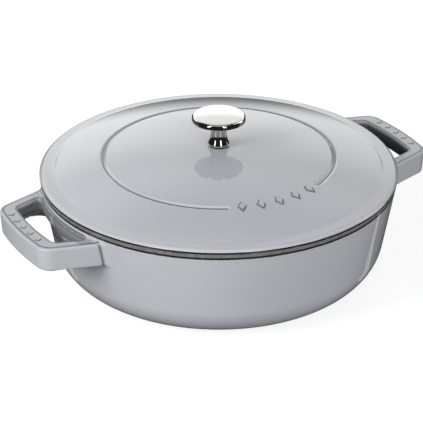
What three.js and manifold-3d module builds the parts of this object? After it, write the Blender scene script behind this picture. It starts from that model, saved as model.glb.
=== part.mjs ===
// A round, shallow cast iron pot with two loop handles and a domed lid with a screwed-on metal knob.
// Millimetres. +Z is up, +X runs along the line of the two handles, and the pot stands on z = 0.

import * as THREE from 'three';
import Module from 'manifold-3d';
import { mergeVertices } from 'three/addons/utils/BufferGeometryUtils.js';

const wasm = await Module();
wasm.setup();

// Pot
const RIM_RADIUS = 145; // outside, at the rim
const POT_HEIGHT = 86;
const WALL = 4; // measured level
const FLOOR = 4.5;
const WALL_LEAN = 9.8; // degrees from upright
const HEEL_RADIUS = 34; // outside round between the bottom and the wall
const RIM_ROUND = 1;

// Loop handles, cast in one with the pot
const HANDLE_LENGTH = 36.5; // rim to the outside of the grip bar
const HANDLE_DROP = 8.4; // rim to the top of the handle
const HANDLE_THICKNESS = 20.4;
const HANDLE_EDGE = 2.2; // rounding along the handle's edges
const BAR_WIDTH = 14; // of the grip bar, seen from above
const BAR_BOW_RADIUS = 230;
const BAR_HALF_SPAN = 41; // handle's centre line to the meeting of the bar and an arm
const ARM_WIDTH = 10.5;
const ARM_SPLAY = 17; // degrees that an arm opens towards the pot
const OUTER_CORNER = 14;
const INNER_CORNER = 7;
const ROOT_FILLET = 3;
const LEDGE = 3; // strip between the pot's wall and the finger hole
const HOLE_DEPTH = 11; // upright side of the finger hole, above the relief under the handle
const RELIEF_WIDTH = 6; // relief under the handle, measured out from the finger hole

// Lid
const SEAT_GAP = 0.3; // lid to rim
const BRIM_THICKNESS = 3; // at the dome's foot
const BRIM_EDGE = 1.8; // brim's thickness at its rounded edge
const BRIM_WIDTH = 11;
const DOME_RISE = 17.4; // brim's top to the knob's seat
const LID_WALL = 3.5;
const SEAT_MARGIN = 1; // flat seat beyond the knob's foot and the washer
const RING_DEPTH = 5; // locating ring that sits inside the pot's mouth
const RING_WIDTH = 4;
const RING_GAP = 1.2;
const GROOVE_RADIUS = 93.8;
const GROOVE_HALF_WIDTH = 1.3;
const GROOVE_DEPTH = 0.9;
const GROOVE_BREAK = 52; // degrees left out of the ring, facing -Y
const NUB_RINGS = 3; // drip nubs under the lid
const NUBS_PER_RING_STEP = 6;
const NUB_RING_PITCH = 30;
const NUB_RADIUS = 3.6;
const NUB_DROP = 3;

// Raised lozenges on the lid and on the handles
const LOZENGE_COUNT = 5;
const LID_LOZENGE = { across: 8, along: 13, height: 0.8, pitch: 15.5 };
const HANDLE_LOZENGE = { across: 5.5, along: 7.5, height: 0.6, pitch: 12 };
const LOZENGE_TOP_SHARE = 0.72; // of its foot

// Knob and what holds it
const KNOB_RADIUS = 21.8;
const KNOB_HEIGHT = 27.5;
const KNOB_CROWN = 1.9; // rise of the cap's top above its edge band
const KNOB_BAND = 3.8; // height of the cap's edge band
const KNOB_SHOULDER = 1.9; // rounding between the cap's top and its edge band
const KNOB_EDGE = 0.6; // rounding of the cap's lower edge
const KNOB_NECK_RADIUS = 6.4;
const KNOB_FOOT_RADIUS = 8.3;
const KNOB_FOOT_HEIGHT = 1.6;
const NECK_TOP_SHARE = 0.6; // height on the knob where the neck starts to flare
const NECK_FOOT_SHARE = 0.38; // height on the knob where the foot's flare ends
const GASKET_THICKNESS = 0.9;
const GASKET_INSET = 0.4; // from the knob's foot
const SCREW_RADIUS = 3;
const SCREW_LENGTH = 16; // under the head
const SCREW_HEAD_RADIUS = 6;
const SCREW_HEAD_HEIGHT = 3.6;
const CROSS_WIDTH = 1.3;
const CROSS_LENGTH = 6;
const CROSS_DEPTH = 2;
const SCREW_CLEARANCE = 0.3; // all round the screw in its holes
const BORE_RUNOUT = 2; // bore beyond the screw's tip
const WASHER_RADIUS = 9;
const WASHER_THICKNESS = 1.6;
const LOCK_WASHER_RADIUS = 5.9;
const LOCK_WASHER_THICKNESS = 1.6;
const LOCK_WASHER_SLIT = 1;
const SLIT_LEAN = 30; // degrees
const CONTACT_GAP = 0.05; // between stacked pieces

// Fineness
const LARGE_SEGMENTS = 64;
const KNOB_SEGMENTS = 48;
const SMALL_SEGMENTS = 32;
const ARC_STEPS = 5;
const DOME_STEPS = 8;
const GROOVE_STEPS = 40;
const GROOVE_SIDES = 8;
const NUB_SIDES = 6;
const LOZENGE_SIDES = 4;
const BOW_SHARES = [-0.6, -0.3, 0, 0.3, 0.6]; // places along a bowed edge

// Values worked out from the sizes above
const leanSlope = Math.tan(THREE.MathUtils.degToRad(WALL_LEAN));
const handleReach = RIM_RADIUS + HANDLE_LENGTH;
const handleTop = POT_HEIGHT - HANDLE_DROP;
const handleBottom = handleTop - HANDLE_THICKNESS;
const lidSeat = POT_HEIGHT + SEAT_GAP;
const brimTop = lidSeat + BRIM_THICKNESS;
const brimRound = BRIM_EDGE / 2;
const knobSeat = brimTop + DOME_RISE;
const domeFoot = RIM_RADIUS - BRIM_WIDTH;
const screwHole = SCREW_RADIUS + SCREW_CLEARANCE;
const seatRadius = Math.max(KNOB_FOOT_RADIUS, WASHER_RADIUS) + SEAT_MARGIN;
const domeCentre =
  (seatRadius ** 2 - domeFoot ** 2 + knobSeat ** 2 - brimTop ** 2) / (2 * (knobSeat - brimTop));
const domeRadius = Math.hypot(seatRadius, knobSeat - domeCentre);
const gasketTop = knobSeat + CONTACT_GAP + GASKET_THICKNESS;
const knobFoot = gasketTop + CONTACT_GAP;
const undersideRadius = domeRadius - LID_WALL;
const lidUnderside = domeHeight(seatRadius, undersideRadius);
const washerTop = lidUnderside - CONTACT_GAP;
const lockWasherTop = washerTop - WASHER_THICKNESS - CONTACT_GAP;
const screwHeadTop = lockWasherTop - LOCK_WASHER_THICKNESS - CONTACT_GAP;
const screwTip = screwHeadTop + SCREW_LENGTH;

/** Outside radius of the pot's wall at a height. */
function wallRadius(z) {
  return RIM_RADIUS - (POT_HEIGHT - z) * leanSlope;
}

/** Height of a sphere about the dome's centre, at a distance from the axis. */
function domeHeight(radius, sphere) {
  return domeCentre + Math.sqrt(sphere ** 2 - radius ** 2);
}

/** Points of an arc about a centre, both ends included. Angles in radians. */
function arc(centreX, centreY, radius, from, to, steps) {
  return Array.from({ length: steps + 1 }, (_, i) => {
    const angle = from + ((to - from) * i) / steps;
    return new THREE.Vector2(centreX + radius * Math.cos(angle), centreY + radius * Math.sin(angle));
  });
}

/** A closed outline whose corners, given as [x, y, radius], are rounded. */
function roundedOutline(corners) {
  return corners.flatMap(([x, y, radius], i) => {
    const corner = new THREE.Vector2(x, y);
    if (radius === 0) {
      return [corner];
    }
    const before = new THREE.Vector2(...corners.at(i - 1)).sub(corner).normalize();
    const after = new THREE.Vector2(...corners[(i + 1) % corners.length]).sub(corner).normalize();
    const half = Math.acos(before.dot(after)) / 2;
    const centre = before.clone().add(after).setLength(radius / Math.sin(half)).add(corner);
    const start = before.multiplyScalar(radius / Math.tan(half)).add(corner).sub(centre);
    const end = after.multiplyScalar(radius / Math.tan(half)).add(corner).sub(centre);
    const sweep = Math.atan2(start.cross(end), start.dot(end));
    return arc(centre.x, centre.y, radius, start.angle(), start.angle() + sweep, ARC_STEPS);
  });
}

/** A solid for joining and cutting, from a closed geometry. */
function solid(geometry) {
  geometry.deleteAttribute('normal');
  geometry.deleteAttribute('uv');
  const merged = mergeVertices(geometry, 1e-4);
  const corners = merged.index.array;
  const triangles = [];
  for (let i = 0; i < corners.length; i += 3) {
    const [a, b, c] = corners.slice(i, i + 3);
    if (a !== b && b !== c && c !== a) {
      triangles.push(a, b, c);
    }
  }
  return new wasm.Manifold(
    new wasm.Mesh({
      numProp: 3,
      vertProperties: new Float32Array(merged.attributes.position.array),
      triVerts: new Uint32Array(triangles),
    }),
  );
}

/** A solid turned about +Z from a profile of [radius, height] points. */
function turned(profile, segments) {
  const points = profile.map((p) => (p.isVector2 ? p : new THREE.Vector2(...p)));
  return solid(new THREE.LatheGeometry(points, segments).rotateX(Math.PI / 2));
}

/** A flat ring about +Z. */
function ring(innerRadius, outerRadius, bottom, thickness, segments) {
  const top = bottom + thickness;
  const corners = [
    [innerRadius, bottom],
    [outerRadius, bottom],
    [outerRadius, top],
    [innerRadius, top],
    [innerRadius, bottom],
  ];
  return turned(corners, segments);
}

/** A named mesh from a finished solid. */
function piece(name, shape, material) {
  const { vertProperties, triVerts } = shape.getMesh();
  const geometry = new THREE.BufferGeometry();
  geometry.setAttribute('position', new THREE.BufferAttribute(vertProperties, 3));
  geometry.setIndex(new THREE.BufferAttribute(triVerts, 1));
  geometry.computeVertexNormals();
  const mesh = new THREE.Mesh(geometry, material);
  mesh.name = name;
  return mesh;
}

/** The heel's arc and the wall's line, for a bottom and a wall that stand in from the outside. */
function vesselSide(bottom, inset, heel) {
  const lean = THREE.MathUtils.degToRad(WALL_LEAN);
  const heelZ = bottom + heel;
  const heelR = wallRadius(heelZ) - inset - heel / Math.cos(lean);
  return arc(heelR, heelZ, heel, -Math.PI / 2, -lean, 2 * ARC_STEPS);
}

/** A raised lozenge in the XY plane, long in Y, whose foot reaches below the plane. */
function lozenge({ across, along, height }) {
  const shape = new THREE.CylinderGeometry(LOZENGE_TOP_SHARE, 1, 2 * height, LOZENGE_SIDES);
  return shape.rotateX(Math.PI / 2).scale(across / 2, along / 2, 1);
}

/** One handle on the +X side, reaching into the space inside the pot's wall. */
function handleShape() {
  const splay = Math.tan(THREE.MathUtils.degToRad(ARM_SPLAY));
  const barX = (y, reach) => reach - BAR_BOW_RADIUS + Math.sqrt(BAR_BOW_RADIUS ** 2 - y ** 2);
  const bar = (reach, halfSpan) =>
    BOW_SHARES.map((share) => [barX(share * halfSpan, reach), share * halfSpan, 0]);

  const cornerX = barX(BAR_HALF_SPAN, handleReach);
  const armY = (x) => BAR_HALF_SPAN + (cornerX - x) * splay;
  const wallMid = wallRadius((handleTop + handleBottom) / 2);
  const footY = armY(Math.sqrt(wallMid ** 2 - BAR_HALF_SPAN ** 2));
  const footX = Math.sqrt(wallMid ** 2 - footY ** 2);
  const root = footX - 2 * (WALL + ROOT_FILLET);
  const outer = [
    [root, -footY - ROOT_FILLET, 0],
    [footX - ROOT_FILLET * splay, -footY - ROOT_FILLET, 0],
    [footX + ROOT_FILLET, -armY(footX + ROOT_FILLET), 0],
    [cornerX, -BAR_HALF_SPAN, OUTER_CORNER],
    ...bar(handleReach, BAR_HALF_SPAN),
    [cornerX, BAR_HALF_SPAN, OUTER_CORNER],
    [footX + ROOT_FILLET, armY(footX + ROOT_FILLET), 0],
    [footX - ROOT_FILLET * splay, footY + ROOT_FILLET, 0],
    [root, footY + ROOT_FILLET, 0],
  ];

  const holeReach = handleReach - BAR_WIDTH;
  const armAcross = ARM_WIDTH / Math.cos(THREE.MathUtils.degToRad(ARM_SPLAY));
  const holeY = (x) => armY(x) - armAcross;
  const holeCornerY = holeY(barX(BAR_HALF_SPAN, holeReach));
  const holeCornerX = barX(holeCornerY, holeReach);
  const ledgeRadius = wallRadius(handleTop) + LEDGE;
  const ledgeX = (y) => Math.sqrt(ledgeRadius ** 2 - y ** 2);
  const ledgeY = holeY(ledgeX(BAR_HALF_SPAN));
  const hole = [
    [ledgeX(ledgeY), -ledgeY, ROOT_FILLET],
    [holeCornerX, -holeCornerY, INNER_CORNER],
    ...bar(holeReach, holeCornerY),
    [holeCornerX, holeCornerY, INNER_CORNER],
    [ledgeX(ledgeY), ledgeY, ROOT_FILLET],
    ...BOW_SHARES.map((share) => [ledgeX(share * ledgeY), -share * ledgeY, 0]),
  ];

  const shape = new THREE.Shape(roundedOutline(outer));
  shape.holes.push(new THREE.Path(roundedOutline(hole)));
  const plate = new THREE.ExtrudeGeometry(shape, {
    depth: HANDLE_THICKNESS - 2 * HANDLE_EDGE,
    bevelThickness: HANDLE_EDGE,
    bevelSize: HANDLE_EDGE,
    bevelOffset: -HANDLE_EDGE,
    bevelSegments: 2,
  });
  const reliefHeight = HANDLE_THICKNESS - HOLE_DEPTH;
  const scoop = new THREE.ExtrudeGeometry(new THREE.Shape(roundedOutline(hole)), {
    depth: HANDLE_EDGE,
    bevelThickness: reliefHeight,
    bevelSize: RELIEF_WIDTH,
    bevelSegments: 4,
  });
  let handle = solid(plate.translate(0, 0, handleBottom + HANDLE_EDGE))
    .subtract(solid(scoop.translate(0, 0, handleBottom - HANDLE_EDGE)));
  const middle = handleReach - BAR_WIDTH / 2;
  for (let i = 0; i < LOZENGE_COUNT; i += 1) {
    const y = (i - (LOZENGE_COUNT - 1) / 2) * HANDLE_LOZENGE.pitch;
    const mark = lozenge(HANDLE_LOZENGE).rotateZ(Math.PI / 2);
    handle = handle.add(solid(mark.translate(barX(y, middle), y, handleTop)));
  }
  return handle;
}

function buildPot() {
  const outside = [
    [0, 0],
    ...vesselSide(0, 0, HEEL_RADIUS),
    ...arc(RIM_RADIUS - RIM_ROUND, POT_HEIGHT - RIM_ROUND, RIM_ROUND, 0, Math.PI / 2, 2),
    [0, POT_HEIGHT],
  ];
  const cavity = [
    [0, FLOOR],
    ...vesselSide(FLOOR, WALL, HEEL_RADIUS - WALL),
    [RIM_RADIUS - WALL - RIM_ROUND * leanSlope, POT_HEIGHT - RIM_ROUND],
    [RIM_RADIUS - WALL + RIM_ROUND, POT_HEIGHT],
    [RIM_RADIUS - WALL + RIM_ROUND, POT_HEIGHT + RIM_ROUND],
    [0, POT_HEIGHT + RIM_ROUND],
  ];
  const handle = handleShape();
  return turned(outside, LARGE_SEGMENTS)
    .add(handle)
    .add(handle.rotate([0, 0, 180]))
    .subtract(turned(cavity, LARGE_SEGMENTS));
}

/** The broken ring groove's cutter, a bar bent round the dome. */
function grooveCutter() {
  const start = THREE.MathUtils.degToRad(-90 + GROOVE_BREAK / 2);
  const sweep = THREE.MathUtils.degToRad(360 - GROOVE_BREAK);
  const height = domeHeight(GROOVE_RADIUS, domeRadius) - GROOVE_DEPTH + GROOVE_HALF_WIDTH;
  const points = arc(0, 0, GROOVE_RADIUS, start, start + sweep, GROOVE_STEPS);
  const path = new THREE.CatmullRomCurve3(points.map((p) => new THREE.Vector3(p.x, p.y, height)));
  const section = new THREE.Shape(arc(0, 0, GROOVE_HALF_WIDTH, 0, 2 * Math.PI, GROOVE_SIDES).slice(1));
  return solid(new THREE.ExtrudeGeometry(section, { steps: GROOVE_STEPS, extrudePath: path }));
}

/** The lozenges in the groove's break, lying on the dome. */
function lidLozenges() {
  const height = domeHeight(GROOVE_RADIUS, domeRadius);
  return Array.from({ length: LOZENGE_COUNT }, (_, i) => {
    const turn = ((i - (LOZENGE_COUNT - 1) / 2) * LID_LOZENGE.pitch) / GROOVE_RADIUS;
    const tilt = Math.asin(GROOVE_RADIUS / domeRadius);
    const mark = lozenge(LID_LOZENGE).rotateX(tilt).translate(0, -GROOVE_RADIUS, height);
    return solid(mark.rotateZ(turn));
  });
}

/** The rings of drip nubs, each a blunt cone that hangs from the lid's underside. */
function dripNubs() {
  const nubs = [];
  for (let row = 1; row <= NUB_RINGS; row += 1) {
    const radius = row * NUB_RING_PITCH;
    const count = row * NUBS_PER_RING_STEP;
    const top = domeHeight(radius, domeRadius - LID_WALL / 2);
    const bottom = domeHeight(radius, undersideRadius) - NUB_DROP;
    for (let i = 0; i < count; i += 1) {
      const cone = new THREE.CylinderGeometry(NUB_RADIUS, NUB_RADIUS / 2, top - bottom, NUB_SIDES);
      cone.rotateX(Math.PI / 2).translate(radius, 0, (top + bottom) / 2);
      nubs.push(solid(cone.rotateZ((2 * Math.PI * i) / count)));
    }
  }
  return nubs;
}

function buildLid() {
  const ringOuter = RIM_RADIUS - WALL - RING_GAP;
  const ringInner = ringOuter - RING_WIDTH;
  const domeArc = (sphere, from, to) =>
    arc(0, domeCentre, sphere, Math.acos(from / sphere), Math.acos(to / sphere), DOME_STEPS);
  const profile = [
    [screwHole, lidUnderside],
    ...domeArc(undersideRadius, seatRadius, ringInner),
    [ringInner, lidSeat - RING_DEPTH],
    [ringOuter - RING_DEPTH * leanSlope, lidSeat - RING_DEPTH],
    [ringOuter, lidSeat],
    ...arc(RIM_RADIUS - brimRound, lidSeat + brimRound, brimRound, -Math.PI / 2, Math.PI / 2, 4),
    ...domeArc(domeRadius, domeFoot, seatRadius),
    [screwHole, knobSeat],
    [screwHole, lidUnderside],
  ];
  let lid = turned(profile, LARGE_SEGMENTS).subtract(grooveCutter());
  for (const raised of [...lidLozenges(), ...dripNubs()]) {
    lid = lid.add(raised);
  }
  return lid;
}

function buildKnob() {
  const capTop = knobFoot + KNOB_HEIGHT;
  const bandTop = capTop - KNOB_CROWN;
  const bandFoot = bandTop - KNOB_BAND;
  const capFlat = KNOB_RADIUS - KNOB_EDGE;
  const neckTop = knobFoot + KNOB_HEIGHT * NECK_TOP_SHARE;
  const neckFoot = knobFoot + KNOB_HEIGHT * NECK_FOOT_SHARE;
  const bore = screwTip + BORE_RUNOUT;
  const at = (radius, z) => new THREE.Vector2(radius, z);
  const flare = new THREE.CubicBezierCurve(
    at(KNOB_FOOT_RADIUS, knobFoot + KNOB_FOOT_HEIGHT),
    at(KNOB_FOOT_RADIUS, knobFoot + 2 * KNOB_FOOT_HEIGHT),
    at(KNOB_NECK_RADIUS, (knobFoot + neckFoot) / 2),
    at(KNOB_NECK_RADIUS, neckFoot),
  );
  const rise = new THREE.QuadraticBezierCurve(
    at(KNOB_NECK_RADIUS, neckTop),
    at(KNOB_NECK_RADIUS, bandFoot),
    at(capFlat, bandFoot),
  );
  const edge = arc(capFlat, bandFoot + KNOB_EDGE, KNOB_EDGE, -Math.PI / 2, 0, ARC_STEPS);
  const shoulder = KNOB_RADIUS - KNOB_SHOULDER;
  const crown = new THREE.QuadraticBezierCurve(
    at(shoulder, bandTop),
    at(shoulder / 2, capTop),
    at(0, capTop),
  );
  const profile = [
    [0, bore],
    [screwHole, bore],
    [screwHole, knobFoot],
    [KNOB_FOOT_RADIUS, knobFoot],
    ...flare.getPoints(ARC_STEPS),
    ...rise.getPoints(ARC_STEPS),
    ...edge.slice(1),
    ...arc(shoulder, bandTop - KNOB_SHOULDER, KNOB_SHOULDER, 0, Math.PI / 2, ARC_STEPS),
    ...crown.getPoints(ARC_STEPS).slice(1),
  ];
  return turned(profile, KNOB_SEGMENTS);
}

function buildScrew() {
  const headBottom = screwHeadTop - SCREW_HEAD_HEIGHT;
  const headRound = SCREW_HEAD_HEIGHT / 2;
  const profile = [
    [0, headBottom],
    ...arc(SCREW_HEAD_RADIUS - headRound, headBottom + headRound, headRound, -Math.PI / 2, 0, ARC_STEPS),
    [SCREW_HEAD_RADIUS, screwHeadTop],
    [SCREW_RADIUS, screwHeadTop],
    [SCREW_RADIUS, screwTip - SCREW_CLEARANCE],
    [SCREW_RADIUS - SCREW_CLEARANCE, screwTip],
    [0, screwTip],
  ];
  const slot = (turn) => {
    const bar = new THREE.BoxGeometry(CROSS_LENGTH, CROSS_WIDTH, 2 * CROSS_DEPTH);
    return solid(bar.rotateZ(turn).translate(0, 0, headBottom));
  };
  return turned(profile, SMALL_SEGMENTS).subtract(slot(0)).subtract(slot(Math.PI / 2));
}

function buildLockWasher() {
  const radius = LOCK_WASHER_RADIUS;
  const thickness = LOCK_WASHER_THICKNESS;
  const bottom = lockWasherTop - thickness;
  const slit = new THREE.BoxGeometry(2 * radius, LOCK_WASHER_SLIT, 4 * thickness);
  slit.rotateX(THREE.MathUtils.degToRad(SLIT_LEAN)).translate(radius, 0, bottom + thickness / 2);
  return ring(screwHole, radius, bottom, thickness, SMALL_SEGMENTS).subtract(solid(slit));
}

const enamel = { color: 0xb4b7bb, roughness: 0.15, metalness: 0 };
const steel = { color: 0xd6d2cc, roughness: 0.1, metalness: 1 };
const zinc = { color: 0xb9bcc0, roughness: 0.35, metalness: 1 };

const pot = new THREE.Group();
pot.add(
  piece('pot', buildPot(), new THREE.MeshStandardMaterial(enamel)),
  piece('lid', buildLid(), new THREE.MeshStandardMaterial(enamel)),
  piece('knob', buildKnob(), new THREE.MeshStandardMaterial(steel)),
  piece(
    'knob_gasket',
    ring(screwHole, KNOB_FOOT_RADIUS - GASKET_INSET, knobSeat + CONTACT_GAP, GASKET_THICKNESS, KNOB_SEGMENTS),
    new THREE.MeshStandardMaterial({ color: 0x1b1b1c, roughness: 0.7 }),
  ),
  piece('knob_screw', buildScrew(), new THREE.MeshStandardMaterial(zinc)),
  piece(
    'flat_washer',
    ring(screwHole, WASHER_RADIUS, washerTop - WASHER_THICKNESS, WASHER_THICKNESS, SMALL_SEGMENTS),
    new THREE.MeshStandardMaterial(zinc),
  ),
  piece('lock_washer', buildLockWasher(), new THREE.MeshStandardMaterial(zinc)),
);

export default pot;
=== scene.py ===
"""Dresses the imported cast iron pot: its enamelled casting and lid, the polished knob and what holds it.

Sizes are in millimetres, in the frame's axes: +Z up, +X through both handles, -Y to the break in the
lid's ring groove. A mesh becomes metres when its piece is made.
"""

import logging
import math
from dataclasses import dataclass, field
from enum import Enum
from typing import Callable, Sequence

import bpy
import numpy as np
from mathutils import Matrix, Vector


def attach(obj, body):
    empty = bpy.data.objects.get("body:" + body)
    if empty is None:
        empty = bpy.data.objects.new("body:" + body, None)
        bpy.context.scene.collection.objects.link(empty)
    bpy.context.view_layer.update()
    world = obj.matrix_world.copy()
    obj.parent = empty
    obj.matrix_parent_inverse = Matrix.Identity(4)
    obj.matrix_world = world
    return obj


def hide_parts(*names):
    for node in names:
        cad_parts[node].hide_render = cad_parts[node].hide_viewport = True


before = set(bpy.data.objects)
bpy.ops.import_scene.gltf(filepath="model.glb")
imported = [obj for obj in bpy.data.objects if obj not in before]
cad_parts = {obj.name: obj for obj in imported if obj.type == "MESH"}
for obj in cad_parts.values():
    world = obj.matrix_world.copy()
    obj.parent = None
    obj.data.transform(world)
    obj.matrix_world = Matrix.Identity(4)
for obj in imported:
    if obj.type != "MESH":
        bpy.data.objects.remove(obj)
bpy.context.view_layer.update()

MM = 0.001
ARC_STEP = math.radians(15)
SHARP_ANGLE = math.radians(35)
ON_AXIS = 1e-6
NOISE_MIDDLE = 0.5
WHITE = (1.0, 1.0, 1.0, 1.0)
BLACK = (0.0, 0.0, 0.0, 1.0)
GLOW = "glow"

log = logging.getLogger("cast_iron_pot")

Numbers = np.ndarray
Field = Callable[[Numbers, Numbers, Numbers], Numbers]
Colour = tuple[float, float, float, float]


class Ray(Enum):
    """Light paths that see the plain white surroundings."""

    CAMERA = "Is Camera Ray"
    GLOSSY = "Is Glossy Ray"
    TRANSMISSION = "Is Transmission Ray"


class Zone(Enum):
    """Zones of the enamel that a mesh carries as a share at each vertex."""

    LINING = "lining"
    # Share of painted shade: dark lines, shadows in creases and hollows, and dark reflections drawn into the
    # enamel.
    THIN = "thin_glaze"


class Slot(Enum):
    """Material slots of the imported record."""

    ENAMEL = "enamelled_iron"
    POLISHED = "polished_metal"
    RUBBER = "gasket_rubber"
    STEEL = "screw_steel"


class Socket(Enum):
    """Socket types of the shared effects."""

    VECTOR = "NodeSocketVector"
    COLOUR = "NodeSocketColor"
    VALUE = "NodeSocketFloat"


def srgb(red: int, green: int, blue: int) -> Colour:
    """Turns a colour as it shows on screen into the linear one that shaders take.

    Args:
        red, green, blue: Levels from 0 to 255.

    Returns:
        The linear colour with an alpha of 1.
    """
    levels = [level / 255 for level in (red, green, blue)]
    linear = [v / 12.92 if v <= 0.04045 else ((v + 0.055) / 1.055) ** 2.4 for v in levels]
    return (*linear, 1.0)


def smooth_step(share: Numbers | float) -> Numbers:
    """Eases a share from 0 to 1, and holds it outside them."""
    held = np.clip(share, 0, 1)
    return held * held * (3 - 2 * held)


def rounded_cut(first: Numbers, second: Numbers, radius: float) -> Numbers:
    """Keeps what two fields share, with the outer edge between them rounded.

    Args:
        first, second: Signed distances, negative inside.
        radius: Rounding of the edge.

    Returns:
        The signed field of the shared solid.
    """
    corner = np.hypot(np.maximum(first + radius, 0), np.maximum(second + radius, 0))
    return np.minimum(np.maximum(first, second), -radius) + corner


def filleted_join(first: Numbers, second: Numbers, radius: float) -> Numbers:
    """Joins two fields with a fillet along the inner edge between them.

    Args:
        first, second: Signed distances, negative inside.
        radius: Fillet radius.

    Returns:
        The signed field of the joined solid.
    """
    corner = np.hypot(np.maximum(radius - first, 0), np.maximum(radius - second, 0))
    return np.maximum(np.minimum(first, second), radius) - corner


def stepped(*spans: tuple[float, float], end: float) -> Numbers:
    """Gives numbers that rise in even steps over each of some spans.

    Args:
        spans: Start and step of each span, which reaches to the start of the next.
        end: End of the last span.

    Returns:
        The numbers of all the spans.
    """
    ends = [start for start, _ in spans[1:]] + [end]
    return np.concatenate([np.arange(start, stop, step) for (start, step), stop in zip(spans, ends)])


def full_turn(columns: int) -> Numbers:
    """Gives the angles of a whole turn in even columns."""
    return np.arange(columns) * 2 * np.pi / columns


def add_object(name: str, data: bpy.types.ID) -> bpy.types.Object:
    """Adds an object to the scene.

    Args:
        name: Name of the object.
        data: Its mesh, camera or lamp.

    Returns:
        The new object.
    """
    made = bpy.data.objects.new(name, data)
    bpy.context.scene.collection.objects.link(made)
    return made


@dataclass
class Shell:
    """A closed mesh in millimetres.

    Attributes:
        places: One row of x, y and z for each vertex.
        faces: Vertex numbers of each face, anticlockwise from outside.
        normals: Exact unit normals at the vertices, or None for shading from the faces.
        zones: Share of a zone at each vertex, for the zones that the mesh has.
    """

    places: Numbers
    faces: list[list[int]]
    normals: Numbers | None = None
    zones: dict[Zone, Numbers] = field(default_factory=dict)

    def mesh(self, name: str) -> bpy.types.Mesh:
        """Makes the Blender mesh, in metres.

        Args:
            name: Name of the mesh.

        Returns:
            The mesh, shaded smooth, with its normals and its zones.
        """
        mesh = bpy.data.meshes.new(name)
        mesh.from_pydata((self.places * MM).tolist(), [], self.faces)
        mesh.shade_smooth()
        for zone, share in self.zones.items():
            layer = mesh.attributes.new(zone.value, "FLOAT", "POINT")
            layer.data.foreach_set("value", share.astype(np.float32))
        if self.normals is None:
            mesh.set_sharp_from_angle(angle=SHARP_ANGLE)
        else:
            mesh.normals_split_custom_set_from_vertices(self.normals.tolist())
        return mesh

    def piece(
        self, name: str, body: str, slot: Slot, material: bpy.types.Material, node: str | None
    ) -> None:
        """Adds the mesh to the object, in its material, riding on its body.

        Args:
            name: Name of the piece.
            body: Body of the frame that carries it.
            slot: Material slot of the record; not used.
            material: Its finish.
            node: Solid of the frame that it stands for, or None.
        """
        made = add_object(name, self.mesh(name))
        made.data.materials.append(material)
        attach(made, body)
        if node:
            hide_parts(node)
        log.info("%s: %d faces on %s", name, len(self.faces), body)


@dataclass
class Profile:
    """A line of points to be turned about +Z, with the solid on its left.

    Attributes:
        points: One row of radius and height for each point.
        normals: Outward unit normals at the points.
        closed: Whether the last point joins the first.
    """

    points: Numbers
    normals: Numbers
    closed: bool

    @classmethod
    def rounded(cls, corners: Sequence[Sequence[float]], closed: bool = False) -> "Profile":
        """Makes a profile from corners that are rounded.

        Args:
            corners: Radius, height and rounding of each corner. A rounding of 0 is a smooth point.
            closed: Whether the last corner joins the first.

        Returns:
            The profile.
        """
        spots = np.array([corner[:2] for corner in corners], float)
        points, tangents = [], []
        for i, corner in enumerate(corners):
            here = spots[i]
            first, last = not closed and i == 0, not closed and i == len(corners) - 1
            before = 2 * here - spots[i + 1] if first else spots[i - 1]
            after = 2 * here - spots[i - 1] if last else spots[(i + 1) % len(corners)]
            into = (here - before) / np.linalg.norm(here - before)
            out = (after - here) / np.linalg.norm(after - here)
            turn = math.atan2(into[0] * out[1] - into[1] * out[0], into @ out)
            radius = corner[2] if len(corner) > 2 else 0.0
            steps = max(1, math.ceil(abs(turn) / ARC_STEP)) if radius else 0
            start = here - into * radius * math.tan(abs(turn) / 2)
            left = np.array([-into[1], into[0]]) * math.copysign(radius, turn)
            for k in range(steps + 1):
                angle = turn * k / steps if steps else turn / 2
                spin = np.array([[math.cos(angle), -math.sin(angle)], [math.sin(angle), math.cos(angle)]])
                points.append(start + left - spin @ left)
                tangents.append(spin @ into)
        tangent = np.array(tangents)
        return cls(np.array(points), np.stack([tangent[:, 1], -tangent[:, 0]], 1), closed)

    def turned(self, angles: Numbers) -> Shell:
        """Turns the profile right round.

        Args:
            angles: Angles of the columns in radians, rising.

        Returns:
            The closed shell, row by row, where a point on the axis is one vertex.
        """
        rows, columns = len(self.points), len(angles)
        around = np.stack([np.cos(angles), np.sin(angles)], 1)
        places = np.empty((rows, columns, 3))
        places[..., :2] = self.points[:, None, :1] * around
        places[..., 2] = self.points[:, 1:]
        normals = np.empty((rows, columns, 3))
        normals[..., :2] = self.normals[:, None, :1] * around
        normals[..., 2] = self.normals[:, 1:]
        number = np.arange(rows * columns).reshape(rows, columns)
        on_axis = self.points[:, 0] < ON_AXIS
        number[on_axis] = number[on_axis, :1]
        normals[on_axis, 0, :2] = 0
        following = np.roll(number, -1, axis=1)
        last = rows if self.closed else rows - 1
        faces = []
        for i in range(last):
            k = (i + 1) % rows
            for quad in zip(number[i], following[i], following[k], number[k]):
                faces.append(list(dict.fromkeys(int(v) for v in quad)))
        kept, renumbered = np.unique(np.concatenate([np.array(f) for f in faces]), return_inverse=True)
        ends = np.cumsum([len(f) for f in faces])[:-1]
        faces = [part.tolist() for part in np.split(renumbered, ends)]
        return Shell(places.reshape(-1, 3)[kept], faces, normals.reshape(-1, 3)[kept])


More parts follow.
